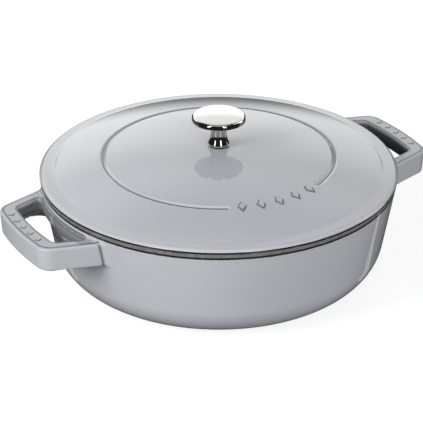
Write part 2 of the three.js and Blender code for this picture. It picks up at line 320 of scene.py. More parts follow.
@dataclass
class FieldMesher:
    """Makes a closed mesh of the inside of a signed field, on a grid of uneven lines.

    Attributes:
        solid: Field that is negative inside the solid.
        lines: Grid lines along x, y and z, which reach past the solid.
        probe: Half of the distance that a slope is measured over.
        rounds: How often places are moved towards the surface.
        gentlest: Least squared slope that a move is worked out from.
        stride: Longest move of a round, in slopes.
    """

    solid: Field
    lines: tuple[Numbers, Numbers, Numbers]
    probe: float = 0.01
    rounds: int = 5
    gentlest: float = 0.05
    stride: float = 1.0

    def shell(self, triangles: int, detail: Callable[[Numbers], Numbers] | None = None) -> Shell:
        """Makes the mesh.

        Args:
            triangles: About how many triangles are kept.
            detail: Tells which places keep all their vertices, or None.

        Returns:
            The shell, with its vertices and normals exactly on the field.
        """
        places, faces = self._net()
        places = self._settled(places)
        plain = np.ones(len(places), bool) if detail is None else ~detail(places)
        places, faces = self._thinned(places, faces, triangles, plain)
        places = self._settled(places)
        slope = self._slope(places)
        return Shell(places, faces, slope / np.linalg.norm(slope, axis=1, keepdims=True))

    def _net(self) -> tuple[Numbers, list[list[int]]]:
        """Puts one vertex in each cell that the surface crosses, and a face across each crossed line.

        Returns:
            The vertices and the faces.
        """
        value = self.solid(*np.meshgrid(*self.lines, indexing="ij"))
        cells = [n - 1 for n in value.shape]
        total = np.zeros((math.prod(cells), 3))
        count = np.zeros(math.prod(cells))
        quads = []
        for axis in range(3):
            side, rise = (axis + 1) % 3, (axis + 2) % 3
            low = np.delete(value, -1, axis)
            high = np.delete(value, 0, axis)
            spot = np.argwhere((low < 0) != (high < 0))
            start, end = low[tuple(spot.T)], high[tuple(spot.T)]
            place = np.stack([self.lines[k][spot[:, k]] for k in range(3)], 1)
            step = np.diff(self.lines[axis])[spot[:, axis]]
            place[:, axis] += step * start / (start - end)
            corners = []
            for back_side, back_rise in ((0, 0), (1, 0), (1, 1), (0, 1)):
                cell = spot.copy()
                cell[:, side] -= back_side
                cell[:, rise] -= back_rise
                corners.append(np.ravel_multi_index(cell.T, cells))
                np.add.at(total, corners[-1], place)
                np.add.at(count, corners[-1], 1)
            quad = np.stack(corners, 1)
            quads.append(np.where((start < 0)[:, None], quad, quad[:, ::-1]))
        used = np.flatnonzero(count)
        number = np.zeros(len(count), int)
        number[used] = np.arange(len(used))
        return total[used] / count[used, None], number[np.concatenate(quads)].tolist()

    def _slope(self, places: Numbers) -> Numbers:
        """Measures the field's gradient at some places.

        Args:
            places: One row of x, y and z for each place.

        Returns:
            One gradient for each place.
        """
        parts = []
        for axis in range(3):
            step = np.zeros(3)
            step[axis] = self.probe
            ahead = self.solid(*(places + step).T)
            behind = self.solid(*(places - step).T)
            parts.append((ahead - behind) / (2 * self.probe))
        return np.stack(parts, 1)

    def _settled(self, places: Numbers) -> Numbers:
        """Moves places onto the field's surface.

        Args:
            places: One row of x, y and z for each place.

        Returns:
            The moved places.
        """
        for _ in range(self.rounds):
            slope = self._slope(places)
            steep = np.maximum((slope**2).sum(1), self.gentlest)
            away = np.clip(self.solid(*places.T) / steep, -self.stride, self.stride)
            places = places - slope * away[:, None]
        return places

    @staticmethod
    def _thinned(
        places: Numbers, faces: list[list[int]], triangles: int, plain: Numbers
    ) -> tuple[Numbers, list[list[int]]]:
        """Leaves fewer triangles where the surface is plain.

        Args:
            places: The vertices.
            faces: Four corners of each face.
            triangles: About how many triangles are kept.
            plain: Which vertices may go.

        Returns:
            The vertices and the faces that are left.
        """
        mesh = bpy.data.meshes.new("net")
        mesh.from_pydata(places.tolist(), [], faces)
        carrier = add_object("net", mesh)
        thin = carrier.modifiers.new("thin", "DECIMATE")
        thin.ratio = min(1.0, triangles / (2 * len(faces)))
        thin.use_collapse_triangulate = True
        carrier.vertex_groups.new(name="plain").add(np.flatnonzero(plain).tolist(), 1.0, "REPLACE")
        thin.vertex_group = "plain"
        result = carrier.evaluated_get(bpy.context.evaluated_depsgraph_get()).data
        left = np.empty(3 * len(result.vertices))
        result.vertices.foreach_get("co", left)
        kept = [list(face.vertices) for face in result.polygons]
        bpy.data.objects.remove(carrier)
        bpy.data.meshes.remove(mesh)
        return left.reshape(-1, 3), kept


@dataclass
class Graph:
    """A short way to place and wire nodes.

    Attributes:
        tree: Node tree that they are placed in.
    """

    tree: bpy.types.NodeTree

    def feed(self, node: bpy.types.Node, inputs: dict[str | int, object]) -> None:
        """Sets or wires inputs of a node.

        Args:
            node: The node.
            inputs: Values, or sockets to wire from, by input name or number.
        """
        for name, value in inputs.items():
            if isinstance(value, bpy.types.NodeSocket):
                self.tree.links.new(value, node.inputs[name])
            else:
                node.inputs[name].default_value = value

    def add(
        self, kind: str, inputs: dict[str | int, object] | None = None, **settings: object
    ) -> bpy.types.Node:
        """Places a node.

        Args:
            kind: Type name of the node.
            inputs: Values, or sockets to wire from, by input name or number.
            settings: Properties of the node.

        Returns:
            The node.
        """
        node = self.tree.nodes.new(kind)
        for name, value in settings.items():
            setattr(node, name, value)
        self.feed(node, inputs or {})
        return node

    def math(
        self, operation: str, first: object, second: object = 0.0, clamp: bool = False
    ) -> bpy.types.NodeSocket:
        """Places a Math node.

        Args:
            operation: Name of the operation.
            first, second: Numbers or sockets.
            clamp: Whether the result is kept from 0 to 1.

        Returns:
            The result's socket.
        """
        inputs = {0: first, 1: second}
        return self.add("ShaderNodeMath", inputs, operation=operation, use_clamp=clamp).outputs[0]

    def ramp(self, value: object, low: float, high: float) -> bpy.types.NodeSocket:
        """Eases a value from 0 at one level to 1 at another.

        Args:
            value: Number or socket.
            low, high: The two levels.

        Returns:
            The eased share's socket.
        """
        inputs = {"Value": value, "From Min": low, "From Max": high}
        return self.add("ShaderNodeMapRange", inputs, interpolation_type="SMOOTHSTEP").outputs[0]

    def mix(self, share: object, first: object, second: object) -> bpy.types.NodeSocket:
        """Mixes two colours.

        Args:
            share: Share of the second colour.
            first, second: Colours or sockets.

        Returns:
            The mixed colour's socket.
        """
        inputs = {"Factor": share, 6: first, 7: second}
        return self.add("ShaderNodeMix", inputs, data_type="RGBA").outputs[2]

    def mix_value(self, share: object, first: object, second: object) -> bpy.types.NodeSocket:
        """Mixes two numbers.

        Args:
            share: Share of the second number.
            first, second: Numbers or sockets.

        Returns:
            The mixed number's socket.
        """
        inputs = {"Factor": share, 2: first, 3: second}
        return self.add("ShaderNodeMix", inputs, data_type="FLOAT").outputs[0]

    def noise(self, place: object, scale: object, detail: float = 2.0) -> bpy.types.NodeSocket:
        """Places a noise texture.

        Args:
            place: Socket of the coordinates.
            scale: Number of features in a metre.
            detail: Levels of finer noise.

        Returns:
            The noise value's socket.
        """
        inputs = {"Vector": place, "Scale": scale, "Detail": detail}
        return self.add("ShaderNodeTexNoise", inputs).outputs[0]

    def place(self) -> bpy.types.NodeSocket:
        """Gives the socket of the piece's own coordinates."""
        return self.add("ShaderNodeTexCoord").outputs["Object"]

    def carried(self, name: str) -> bpy.types.NodeSocket:
        """Gives the socket of a value that the mesh carries at each vertex."""
        return self.add("ShaderNodeAttribute", attribute_name=name).outputs["Fac"]

    def length(self, vector: object) -> bpy.types.NodeSocket:
        """Gives the socket of a vector's length."""
        return self.add("ShaderNodeVectorMath", {0: vector}, operation="LENGTH").outputs["Value"]

    def bump(self, height: object, strength: float) -> bpy.types.NodeSocket:
        """Turns a height in millimetres into a normal.

        Args:
            height: Socket of the height.
            strength: Share of it that shows.

        Returns:
            The normal's socket.
        """
        inputs = {"Height": height, "Distance": MM, "Strength": strength}
        return self.add("ShaderNodeBump", inputs).outputs[0]

    def effect(self, group: bpy.types.NodeTree, **inputs: object) -> bpy.types.NodeSocket:
        """Places a shared effect.

        Args:
            group: Its node group.
            inputs: Values or sockets by input name.

        Returns:
            The socket of its result.
        """
        return self.add("ShaderNodeGroup", inputs, node_tree=group).outputs[0]


class Effects:
    """Shared effects of the finishes, each a shader node group that is built once."""

    @staticmethod
    def _group(
        name: str, inputs: dict[str, Socket], output: str, kind: Socket
    ) -> tuple[Graph, bpy.types.Node, bpy.types.Node]:
        """Starts a node group.

        Args:
            name: Name of the group.
            inputs: Socket type of each input by name.
            output: Name of the result.
            kind: Socket type of the result.

        Returns:
            The group's graph, its input node and its output node.
        """
        tree = bpy.data.node_groups.new(name, "ShaderNodeTree")
        for label, socket in inputs.items():
            tree.interface.new_socket(label, in_out="INPUT", socket_type=socket.value)
        tree.interface.new_socket(output, in_out="OUTPUT", socket_type=kind.value)
        graph = Graph(tree)
        return graph, graph.add("NodeGroupInput"), graph.add("NodeGroupOutput")

    @staticmethod
    def _swing(graph: Graph, given: bpy.types.Node, detail: float) -> bpy.types.NodeSocket:
        """Gives a noise that swings about 0, from a group's own place and scale."""
        wave = graph.noise(given.outputs["Place"], given.outputs["Scale"], detail)
        return graph.math("SUBTRACT", wave, NOISE_MIDDLE)

    @staticmethod
    def tone_drift() -> bpy.types.NodeTree:
        """Builds a slow change of a colour's tone over the surface.

        Returns:
            The node group.
        """
        inputs = {"Place": Socket.VECTOR, "Tint": Socket.COLOUR}
        inputs |= {"Scale": Socket.VALUE, "Amount": Socket.VALUE}
        graph, given, result = Effects._group("tone_drift", inputs, "Tint", Socket.COLOUR)
        swing = Effects._swing(graph, given, detail=3)
        level = graph.math("MULTIPLY_ADD", swing, given.outputs["Amount"])
        graph.feed(level.node, {2: 1.0})
        scaled = graph.add("ShaderNodeVectorMath", {0: given.outputs["Tint"], 3: level}, operation="SCALE")
        graph.feed(result, {0: scaled.outputs[0]})
        return graph.tree

    @staticmethod
    def wiped_gloss() -> bpy.types.NodeTree:
        """Builds a change of roughness as cloths and hands leave it.

        Returns:
            The node group.
        """
        inputs = {"Place": Socket.VECTOR}
        inputs |= {"Roughness": Socket.VALUE, "Scale": Socket.VALUE, "Amount": Socket.VALUE}
        graph, given, result = Effects._group("wiped_gloss", inputs, "Roughness", Socket.VALUE)
        swing = Effects._swing(graph, given, detail=4)
        change = graph.math("MULTIPLY", swing, given.outputs["Amount"])
        graph.feed(result, {0: graph.math("ADD", given.outputs["Roughness"], change, clamp=True)})
        return graph.tree

    @staticmethod
    def fine_grain() -> bpy.types.NodeTree:
        """Builds the height of a fine, even grain.

        Returns:
            The node group.
        """
        inputs = {"Place": Socket.VECTOR, "Scale": Socket.VALUE, "Height": Socket.VALUE}
        graph, given, result = Effects._group("fine_grain", inputs, "Height", Socket.VALUE)
        grain = graph.noise(given.outputs["Place"], given.outputs["Scale"])
        graph.feed(result, {0: graph.math("MULTIPLY", grain, given.outputs["Height"])})
        return graph.tree


@dataclass(frozen=True)
class EffectSet:
    """The shared effects that every finish places.

    Attributes:
        tone_drift, wiped_gloss, fine_grain: Node groups of the class Effects.
    """

    tone_drift: bpy.types.NodeTree
    wiped_gloss: bpy.types.NodeTree
    fine_grain: bpy.types.NodeTree


def new_material(name: str) -> tuple[bpy.types.Material, Graph, bpy.types.Node]:
    """Starts a material.

    Args:
        name: Name of the material.

    Returns:
        The material, its graph and its Principled shader.
    """
    material = bpy.data.materials.new(name)
    material.use_nodes = True
    return material, Graph(material.node_tree), material.node_tree.nodes["Principled BSDF"]


@dataclass(frozen=True)
class Enamel:
    """Gloss grey enamel outside with painted shade, a matte black lining and a bare band under the rim
    between painted shadow lines.

    Attributes:
        grey, thin, black, bare: Colours of the outside, of the shade painted on it, of the lining and of the
            bare band.
        gloss, lining_roughness, bare_roughness: Their roughness.
        band_foot, band_line, band_top: Foot and height of a black line of painted shadow where the enamel
            ends, and top of the bare band above.
        top_shadow_start, top_shadow_end: Depths below that top between which the band turns black again, a
            painted shadow under the lid's edge.
        foot_blur, line_blur: Widths in which the black line and the bare band begin.
        ragged_scale, ragged_height: Waviness of their lower edges.
        shade_patch_scale, shade_patch_low, shade_patch_high: Patches in which the painted shade shows, and
        the noise levels they grow between.
        relief: Share of the fine relief that shows.
        ior: Index of refraction.
    """

    grey: Colour = srgb(170, 173, 178)
    # Dark grey that painted shade mixes into the enamel.
    thin: Colour = srgb(66, 68, 74)
    black: Colour = srgb(30, 30, 32)
    bare: Colour = srgb(112, 109, 108)
    gloss: float = 0.03
    lining_roughness: float = 0.5
    bare_roughness: float = 0.38
    band_foot: float = 80.0
    band_line: float = 2.0
    band_top: float = 86.15
    top_shadow_start: float = 1.3
    top_shadow_end: float = 0.9
    foot_blur: float = 0.7
    line_blur: float = 0.5
    ragged_scale: float = 220.0
    ragged_height: float = 0.6
    shade_patch_scale: float = 260.0
    shade_patch_low: float = 0.05
    shade_patch_high: float = 0.3
    relief: float = 0.6
    ior: float = 1.54

    def material(self, effects: EffectSet) -> bpy.types.Material:
        """Builds the material.

        Args:
            effects: The shared effects.

        Returns:
            The material.
        """
        material, graph, shader = new_material("grey_enamel")
        place = graph.place()
        height = graph.math("DIVIDE", graph.add("ShaderNodeSeparateXYZ", {0: place}).outputs[2], MM)
        # The mesh carries the share of painted shade, which darkens the enamel towards the thin colour.
        dark, thin = graph.carried(Zone.LINING.value), graph.carried(Zone.THIN.value)
        waves = graph.math("MULTIPLY", graph.noise(place, self.ragged_scale), self.ragged_height)
        ragged = graph.math("ADD", height, waves)
        # Black lines of painted shadow edge the bare band: one at its foot, where the enamel ends, and one at
        # its top, under the lid.
        below = graph.math("LESS_THAN", height, self.band_top)
        line = self.band_foot + self.band_line
        lip = graph.ramp(height, self.band_top - self.top_shadow_start, self.band_top - self.top_shadow_end)
        band = graph.math("SUBTRACT", graph.ramp(ragged, line, line + self.line_blur), lip, clamp=True)
        edge = graph.ramp(ragged, self.band_foot, self.band_foot + self.foot_blur)
        edge = graph.math("MULTIPLY", edge, below)

        grey = graph.effect(effects.tone_drift, Place=place, Tint=self.grey, Scale=14.0, Amount=0.07)
        grey = graph.effect(effects.tone_drift, Place=place, Tint=grey, Scale=900.0, Amount=0.06)
        # Painted shade: the grey goes towards the thin colour, in noise patches.
        patches = graph.ramp(graph.noise(place, self.shade_patch_scale, detail=3), self.shade_patch_low, self.shade_patch_high)
        grey = graph.mix(graph.math("MULTIPLY", thin, patches), grey, self.thin)
        black = graph.effect(effects.tone_drift, Place=place, Tint=self.black, Scale=300.0, Amount=0.6)
        bare = graph.effect(effects.tone_drift, Place=place, Tint=self.bare, Scale=700.0, Amount=1.2)
        bare = graph.effect(effects.tone_drift, Place=place, Tint=bare, Scale=160.0, Amount=1.2)
        outside = graph.mix(band, graph.mix(edge, grey, self.black), bare)

        gloss = graph.effect(
            effects.wiped_gloss, Place=place, Roughness=self.gloss, Scale=30.0, Amount=0.03
        )
        rough = graph.mix_value(band, gloss, self.bare_roughness)
        peel = graph.effect(effects.fine_grain, Place=place, Scale=110.0, Height=0.008)
        stipple = graph.effect(effects.fine_grain, Place=place, Scale=900.0, Height=0.05)
        grit = graph.math("MULTIPLY", stipple, graph.math("MAXIMUM", band, dark))
        finish = {
            "Base Color": graph.mix(dark, outside, black),
            "Roughness": graph.mix_value(dark, rough, self.lining_roughness),
            "Normal": graph.bump(graph.math("ADD", peel, grit), self.relief),
            "IOR": self.ior,
        }
        graph.feed(shader, finish)
        return material


@dataclass(frozen=True)
class Metal:
    """A turned and polished or plated metal.

    Attributes:
        name: Name of the material.
        tint: Its colour.
        roughness: Its roughness.
        smear: How much the roughness changes over the surface.
        turning: Turning marks in a millimetre of radius, or 0 for none.
        mark_height: Half height of those marks in millimetres.
        relief: Share of the fine relief that shows.
    """

    name: str
    tint: Colour
    roughness: float
    smear: float
    turning: float
    mark_height: float = 0.0004
    relief: float = 0.5

    def material(self, effects: EffectSet) -> bpy.types.Material:
        """Builds the material.

        Args:
            effects: The shared effects.

        Returns:
            The material.
        """
        material, graph, shader = new_material(self.name)
        place = graph.place()
        tint = graph.effect(effects.tone_drift, Place=place, Tint=self.tint, Scale=60.0, Amount=0.06)
        rough = graph.effect(
            effects.wiped_gloss, Place=place, Roughness=self.roughness, Scale=120.0, Amount=self.smear
        )
        height = graph.effect(effects.fine_grain, Place=place, Scale=1500.0, Height=0.004)
        if self.turning:
            parts = graph.add("ShaderNodeSeparateXYZ", {0: place}).outputs
            flat = graph.add("ShaderNodeCombineXYZ", {0: parts[0], 1: parts[1]}).outputs[0]
            turns = graph.math("MULTIPLY", graph.length(flat), 2 * math.pi * self.turning / MM)
            marks = graph.math("MULTIPLY", graph.math("SINE", turns), self.mark_height)
            height = graph.math("ADD", height, marks)
        normal = graph.bump(height, self.relief)
        graph.feed(shader, {"Base Color": tint, "Roughness": rough, "Normal": normal, "Metallic": 1.0})
        return material


@dataclass(frozen=True)
class Rubber:
    """Matte black rubber of the gasket.

    Attributes:
        tint: Its colour.
        roughness: Its roughness.
        relief: Share of the fine relief that shows.
    """

    tint: Colour = srgb(34, 33, 33)
    roughness: float = 0.7
    relief: float = 0.5

    def material(self, effects: EffectSet) -> bpy.types.Material:
        """Builds the material.

        Args:
            effects: The shared effects.

        Returns:
            The material.
        """
        material, graph, shader = new_material("black_rubber")
        place = graph.place()
        tint = graph.effect(effects.tone_drift, Place=place, Tint=self.tint, Scale=700.0, Amount=0.5)
        rough = graph.effect(
            effects.wiped_gloss, Place=place, Roughness=self.roughness, Scale=200.0, Amount=0.2
        )
        grain = graph.effect(effects.fine_grain, Place=place, Scale=2500.0, Height=0.03)
        normal = graph.bump(grain, self.relief)
        graph.feed(shader, {"Base Color": tint, "Roughness": rough, "Normal": normal})
        return material


@dataclass(frozen=True)
class Marks:
    """A row of raised lozenges.

    Attributes:
        count: How many there are.
        pitch: Distance from one to the next, along the row.
        width: Size along the row.
        length: Size across the row.
        height: How far they stand proud.
        softness: Share of a lozenge's half size that its sloping edge takes.
    """

    count: int
    pitch: float
    width: float
    length: float
    height: float
    softness: float

    def rows(self) -> list[float]:
        """Gives the middles of the lozenges along the row."""
        return [(i - (self.count - 1) / 2) * self.pitch for i in range(self.count)]

    def raised(self, along: Numbers, across: Numbers) -> Numbers:
        """Gives the height of one lozenge.

        Args:
            along, across: Place relative to its middle, along and across the row.

        Returns:
            The height there, 0 outside the lozenge.
        """
        share = np.abs(along) / (self.width / 2) + np.abs(across) / (self.length / 2)
        return self.height * smooth_step((1 - share) / self.softness)


@dataclass(frozen=True)
class PaintedShade:
    """Where shade is painted on a handle.

    Attributes:
        inset, width: Painted dark line inside a top edge, for the edge's dark reflection: its place, in
            roundings of that edge, and its half width.
        plain: Share of painted shade on the rest of the handle's top.
        skin, skin_blur: How far from the handle's own surface it reaches, and the width in which it ends.
        top_depth, top_blur: How far below the handle's top that top reaches, and the width of its change.
        hole_reach, hole_blur: How far beyond the relief the finger hole counts, and the width of that change.
        hole_depth, hole_fall: Depth below the top at which the hole's share begins, and what it grows over.
        hole_share, hole_gain: Share of painted shade in the hole near the pot, and what is added away from
            it.
        hole_start, hole_run: Distance from the rim at which that is added, and the width in which it grows.
        crease_share, crease_inset, crease_width: Painted shade line at a root: its share, place and half
            width.
    """

    inset: float = 1.2
    width: float = 0.95
    plain: float = 0.16
    skin: float = 0.5
    skin_blur: float = 1.2
    top_depth: float = 0.9
    top_blur: float = 0.6
    hole_reach: float = 1.0
    hole_blur: float = 1.5
    hole_depth: float = 1.0
    hole_fall: float = 3.0
    hole_share: float = 0.55
    hole_gain: float = 0.35
    hole_start: float = 3.0
    hole_run: float = 8.0
    crease_share: float = 0.9
    crease_inset: float = 0.4
    crease_width: float = 0.7


@dataclass
class PotCasting:
    """The pot with its two loop handles, cast in one.

    Attributes:
        rim_radius, height, wall, floor: Outside radius at the rim, height, and the two thicknesses.
        wall_lean: Lean of the wall in degrees from upright.
        heel: Outside round between the bottom and the wall.
        rim_round: Rounding of the rim's edges.
        reach: Distance from the axis to the outside of a grip bar.
        handle_drop, handle_thickness: Rim to the top of a handle, and its thickness.
        handle_edge, draft: Rounding of a handle's edges, and how far its sides draw in downwards.
        bar_width, bow, half_span: Grip bar seen from above: width, bow radius and half length.
        arm_width, splay: Arm's width, and the degrees that it opens towards the pot.
        outer_corner, inner_corner, root_fillet, ledge: Roundings, and the strip between wall and hole.
        join_fillet, hole_edge: Fillet where a handle meets the wall, and rounding of the hole's edge.
        hole_depth: Upright side of the finger hole.
        relief_width, relief_edge: Relief under the handle, and the rounding of its edge.
        marks: Raised lozenges on each grip bar.
        shade_paint: Where shade is painted on the handles.
        triangles: About how many triangles the mesh keeps.
    """

    rim_radius: float = 145.0
    height: float = 86.0
    wall: float = 4.0
    floor: float = 4.5
    wall_lean: float = 9.8
    heel: float = 34.0
    rim_round: float = 1.0
    reach: float = 181.5
    handle_drop: float = 8.4
    handle_thickness: float = 20.4
    handle_edge: float = 2.2
    draft: float = 1.2
    bar_width: float = 14.0
    bow: float = 230.0
    half_span: float = 41.0
    arm_width: float = 10.5
    splay: float = 17.0
    outer_corner: float = 14.0
    inner_corner: float = 7.0
    root_fillet: float = 3.0
    ledge: float = 3.0
    join_fillet: float = 3.2
    hole_edge: float = 1.0
    hole_depth: float = 11.0
    relief_width: float = 8.0
    relief_edge: float = 1.2
    marks: Marks = Marks(count=5, pitch=12.0, width=5.5, length=7.5, height=0.6, softness=0.45)
    shade_paint: PaintedShade = PaintedShade()
    triangles: int = 120_000

    def wall_radius(self, z: Numbers) -> Numbers:
        """Gives the outside radius of the wall at a height."""
        return self.rim_radius - (self.height - z) * math.tan(math.radians(self.wall_lean))

    def vessel(self, r: Numbers, z: Numbers, floor: float, inset: float, heel: float) -> Numbers:
        """Gives the field of a round vessel that is open to the sky.

        Args:
            r, z: Places, as distances from the axis and heights.
            floor: Height of its flat bottom.
            inset: How far its wall stands in from the outside, measured level.
            heel: Round between the bottom and the wall.

        Returns:
            The signed distance.
        """
        lean = math.radians(self.wall_lean)
        heel_z = floor + heel
        heel_r = self.wall_radius(heel_z) - inset - heel / math.cos(lean)
        on_heel = (r > heel_r) & (z - heel_z < (heel_r - r) * math.tan(lean))
        side = (r - self.wall_radius(z) + inset) * math.cos(lean)
        return np.where(on_heel, np.hypot(r - heel_r, z - heel_z) - heel, np.maximum(side, floor - z))

    def bar_x(self, y: Numbers, reach: float) -> Numbers:
        """Gives x on a bowed line whose middle is at a reach from the axis."""
        return reach - self.bow + np.sqrt(self.bow**2 - y**2)

    def arm_y(self, x: Numbers) -> Numbers:
        """Gives y on the outside of an arm."""
        corner = self.bar_x(self.half_span, self.reach)
        return self.half_span + (corner - x) * math.tan(math.radians(self.splay))

    def corner(self, across: Callable[[float], float], inset: float) -> tuple[float, float]:
        """Finds the middle of a corner's rounding on the +Y side.

        Args:
            across: Gives x at a y on the line that stands in from the other edge by the rounding.
            inset: How far the middle is from the outside of the arm.

        Returns:
            Its x and y.
        """
        rounds = 40
        y = self.half_span / 2
        for _ in range(rounds):
            y = self.arm_y(across(y)) - inset / math.cos(math.radians(self.splay))
        return across(y), y

    @staticmethod
    def meeting(
        edges: tuple[Numbers, Numbers], away: tuple[Numbers, Numbers], facing: Numbers, radius: float
    ) -> Numbers:
        """Gives the inside of two edges whose corner is rounded.

        Args:
            edges: Distances outside the two edges, the second anticlockwise from the first.
            away: Places relative to the middle of the rounding, as x and y.
            facing: Outward directions of the two edges there.
            radius: Rounding.

        Returns:
            The signed distance.
        """
        dx, dy = away
        past_first = facing[0][0] * dy - facing[0][1] * dx >= 0
        before_second = dx * facing[1][1] - dy * facing[1][0] >= 0
        rounded = np.hypot(dx, dy) - radius
        return np.where(past_first & before_second, rounded, np.maximum(*edges))

    def outlines(self, x: Numbers, y: Numbers) -> tuple[Numbers, Numbers]:
        """Gives the fields of a handle's outside and of its finger hole, seen from above.

        Args:
            x, y: Places on the handle's side, with y folded to the +Y half.

        Returns:
            The two signed distances, each negative inside its outline.
        """
        lean = math.radians(self.splay)
        arm_facing = (math.sin(lean), math.cos(lean))
        arm = (y - self.arm_y(x)) * math.cos(lean)

        def loop(reach: float, inset: float, radius: float) -> Numbers:
            """Gives the inside of a bar line and an arm line that meet in a rounded corner.

            Args:
                reach: Distance from the axis to the bar line.
                inset: How far the arm line stands in from the outside of the arm.
                radius: Rounding of the corner.

            Returns:
                The signed distance.
            """
            middle = reach - self.bow
            inner = self.bow - radius
            px, py = self.corner(lambda v: middle + math.sqrt(inner**2 - v**2), inset + radius)
            bar = np.hypot(x - middle, y) - self.bow
            facing = ((px - middle) / inner, py / inner)
            return self.meeting((bar, arm + inset), (x - px, y - py), (facing, arm_facing), radius)

        outside = loop(self.reach, 0.0, self.outer_corner)
        hole = loop(self.reach - self.bar_width, self.arm_width, self.inner_corner)
        shelf = self.wall_radius(self.height - self.handle_drop) + self.ledge
        round_to = shelf + self.root_fillet
        px, py = self.corner(lambda v: math.sqrt(round_to**2 - v**2), self.arm_width + self.root_fillet)
        edges = (arm + self.arm_width, shelf - np.hypot(x, y))
        facing = (arm_facing, (-px / round_to, -py / round_to))
        root = self.meeting(edges, (x - px, y - py), facing, self.root_fillet)
        return outside, np.maximum(hole, root)

    @property
    def handle_top(self) -> float:
        """Height of a handle's top."""
        return self.height - self.handle_drop

    def marks_at(self, x: Numbers, y: Numbers) -> Numbers:
        """Gives the height of the lozenges on a grip bar.

        Args:
            x, y: Places on the handle's side.

        Returns:
            The heights above the handle's top.
        """
        raised = np.zeros_like(x)
        for row in self.marks.rows():
            middle = self.bar_x(row, self.reach - self.bar_width / 2)
            raised = raised + self.marks.raised(y - row, x - middle)
        return raised

    def handle(self, x: Numbers, y: Numbers, z: Numbers) -> Numbers:
        """Gives the field of the handle on the +X side.

        Args:
            x, y, z: Places.

        Returns:
            The signed distance.
        """
        outside, hole = self.outlines(x, np.abs(y))
        bottom = self.handle_top - self.handle_thickness
        drawn_in = self.draft * np.clip((self.handle_top - z) / self.handle_thickness, 0, 1)
        flat = np.maximum(z - self.handle_top - self.marks_at(x, y), bottom - z)
        loop = rounded_cut(outside + drawn_in, flat, self.handle_edge)
        loop = rounded_cut(loop, drawn_in - hole, self.hole_edge)
        rise = self.handle_thickness - self.hole_depth
        scoop = np.hypot(np.maximum(hole, 0) / self.relief_width, np.maximum(z - bottom, 0) / rise) - 1
        return rounded_cut(loop, -scoop * self.relief_width, self.relief_edge)

    def thin_glaze(self, x: Numbers, y: Numbers, z: Numbers) -> Numbers:
        """Tells where shade is painted: on a handle's top, along its edges and marks, in its hole and at its
        roots.

        Args:
            x, y, z: Places on the surface.

        Returns:
            A share from 0 to 1 at each place.
        """
        x = np.abs(x)
        outside, hole = self.outlines(x, np.abs(y))
        shade_paint = self.shade_paint
        # Painted dark lines inside the top edges stand for their dark reflections; the marks' flanks get
        # painted shadow.
        away = np.minimum(-outside - shade_paint.inset * self.handle_edge, hole - shade_paint.inset * self.hole_edge)
        line = np.exp(-((away / shade_paint.width) ** 2))
        raised = self.marks_at(x, y) / self.marks.height
        rounds = np.sqrt(np.maximum(4 * raised * (1 - raised), 0))
        top = np.maximum(np.maximum(line, rounds), shade_paint.plain)
        near = 1 - smooth_step((np.abs(self.handle(x, y, z)) - shade_paint.skin) / shade_paint.skin_blur)
        on_top = smooth_step((z - self.handle_top + shade_paint.top_depth) / shade_paint.top_blur)
        # Painted shade in the finger hole, deeper away from the pot, and along the roots.
        within = smooth_step((self.relief_width + shade_paint.hole_reach - hole) / shade_paint.hole_blur)
        farther = smooth_step((np.hypot(x, y) - self.rim_radius - shade_paint.hole_start) / shade_paint.hole_run)
        lower = smooth_step((self.handle_top - shade_paint.hole_depth - z) / shade_paint.hole_fall)
        in_hole = within * (shade_paint.hole_share + shade_paint.hole_gain * farther) * lower
        beside = np.maximum(shade_paint.crease_share * self.root_crease(x, y, z), in_hole)
        return near * np.maximum(on_top * top, (1 - on_top) * beside)

    def root_crease(self, x: Numbers, y: Numbers, z: Numbers) -> Numbers:
        """Gives a narrow line of painted shade on a handle where the fillet to the wall begins.

        Args:
            x, y, z: Places on the surface.

        Returns:
            A share from 0 to 1 at each place.
        """
        off_wall = self.vessel(np.hypot(x, y), z, 0.0, 0.0, self.heel)
        past = off_wall - self.join_fillet + self.shade_paint.crease_inset
        return np.exp(-((past / self.shade_paint.crease_width) ** 2))

    def detailed(self, places: Numbers) -> Numbers:
        """Tells which places need close vertices for the edges of the painted shade: a handle's top and its
        roots.

        Args:
            places: One row of x, y and z for each place.

        Returns:
            Whether each place does.
        """
        above, below, inside, skin, least = 2, 6, 4, 1.2, 0.001
        x, y, z = places.T
        on_top = (z > self.handle_top - below) & (z < self.handle_top + above)
        on_top &= np.hypot(x, y) > self.rim_radius - inside
        near = np.abs(self.handle(np.abs(x), y, z)) < skin
        return on_top | (near & (self.root_crease(x, y, z) > least))

    def cavity(self, r: Numbers, z: Numbers) -> Numbers:
        """Gives the field of the space inside the pot."""
        return self.vessel(r, z, self.floor, self.wall, self.heel - self.wall)

    def solid(self, x: Numbers, y: Numbers, z: Numbers) -> Numbers:
        """Gives the field of the whole casting.

        Args:
            x, y, z: Places.

        Returns:
            The signed distance.
        """
        r = np.hypot(x, y)
        outside = self.vessel(r, z, 0.0, 0.0, self.heel)
        body = filleted_join(outside, self.handle(np.abs(x), y, z), self.join_fillet)
        return rounded_cut(np.maximum(body, -self.cavity(r, z)), z - self.height, self.rim_round)

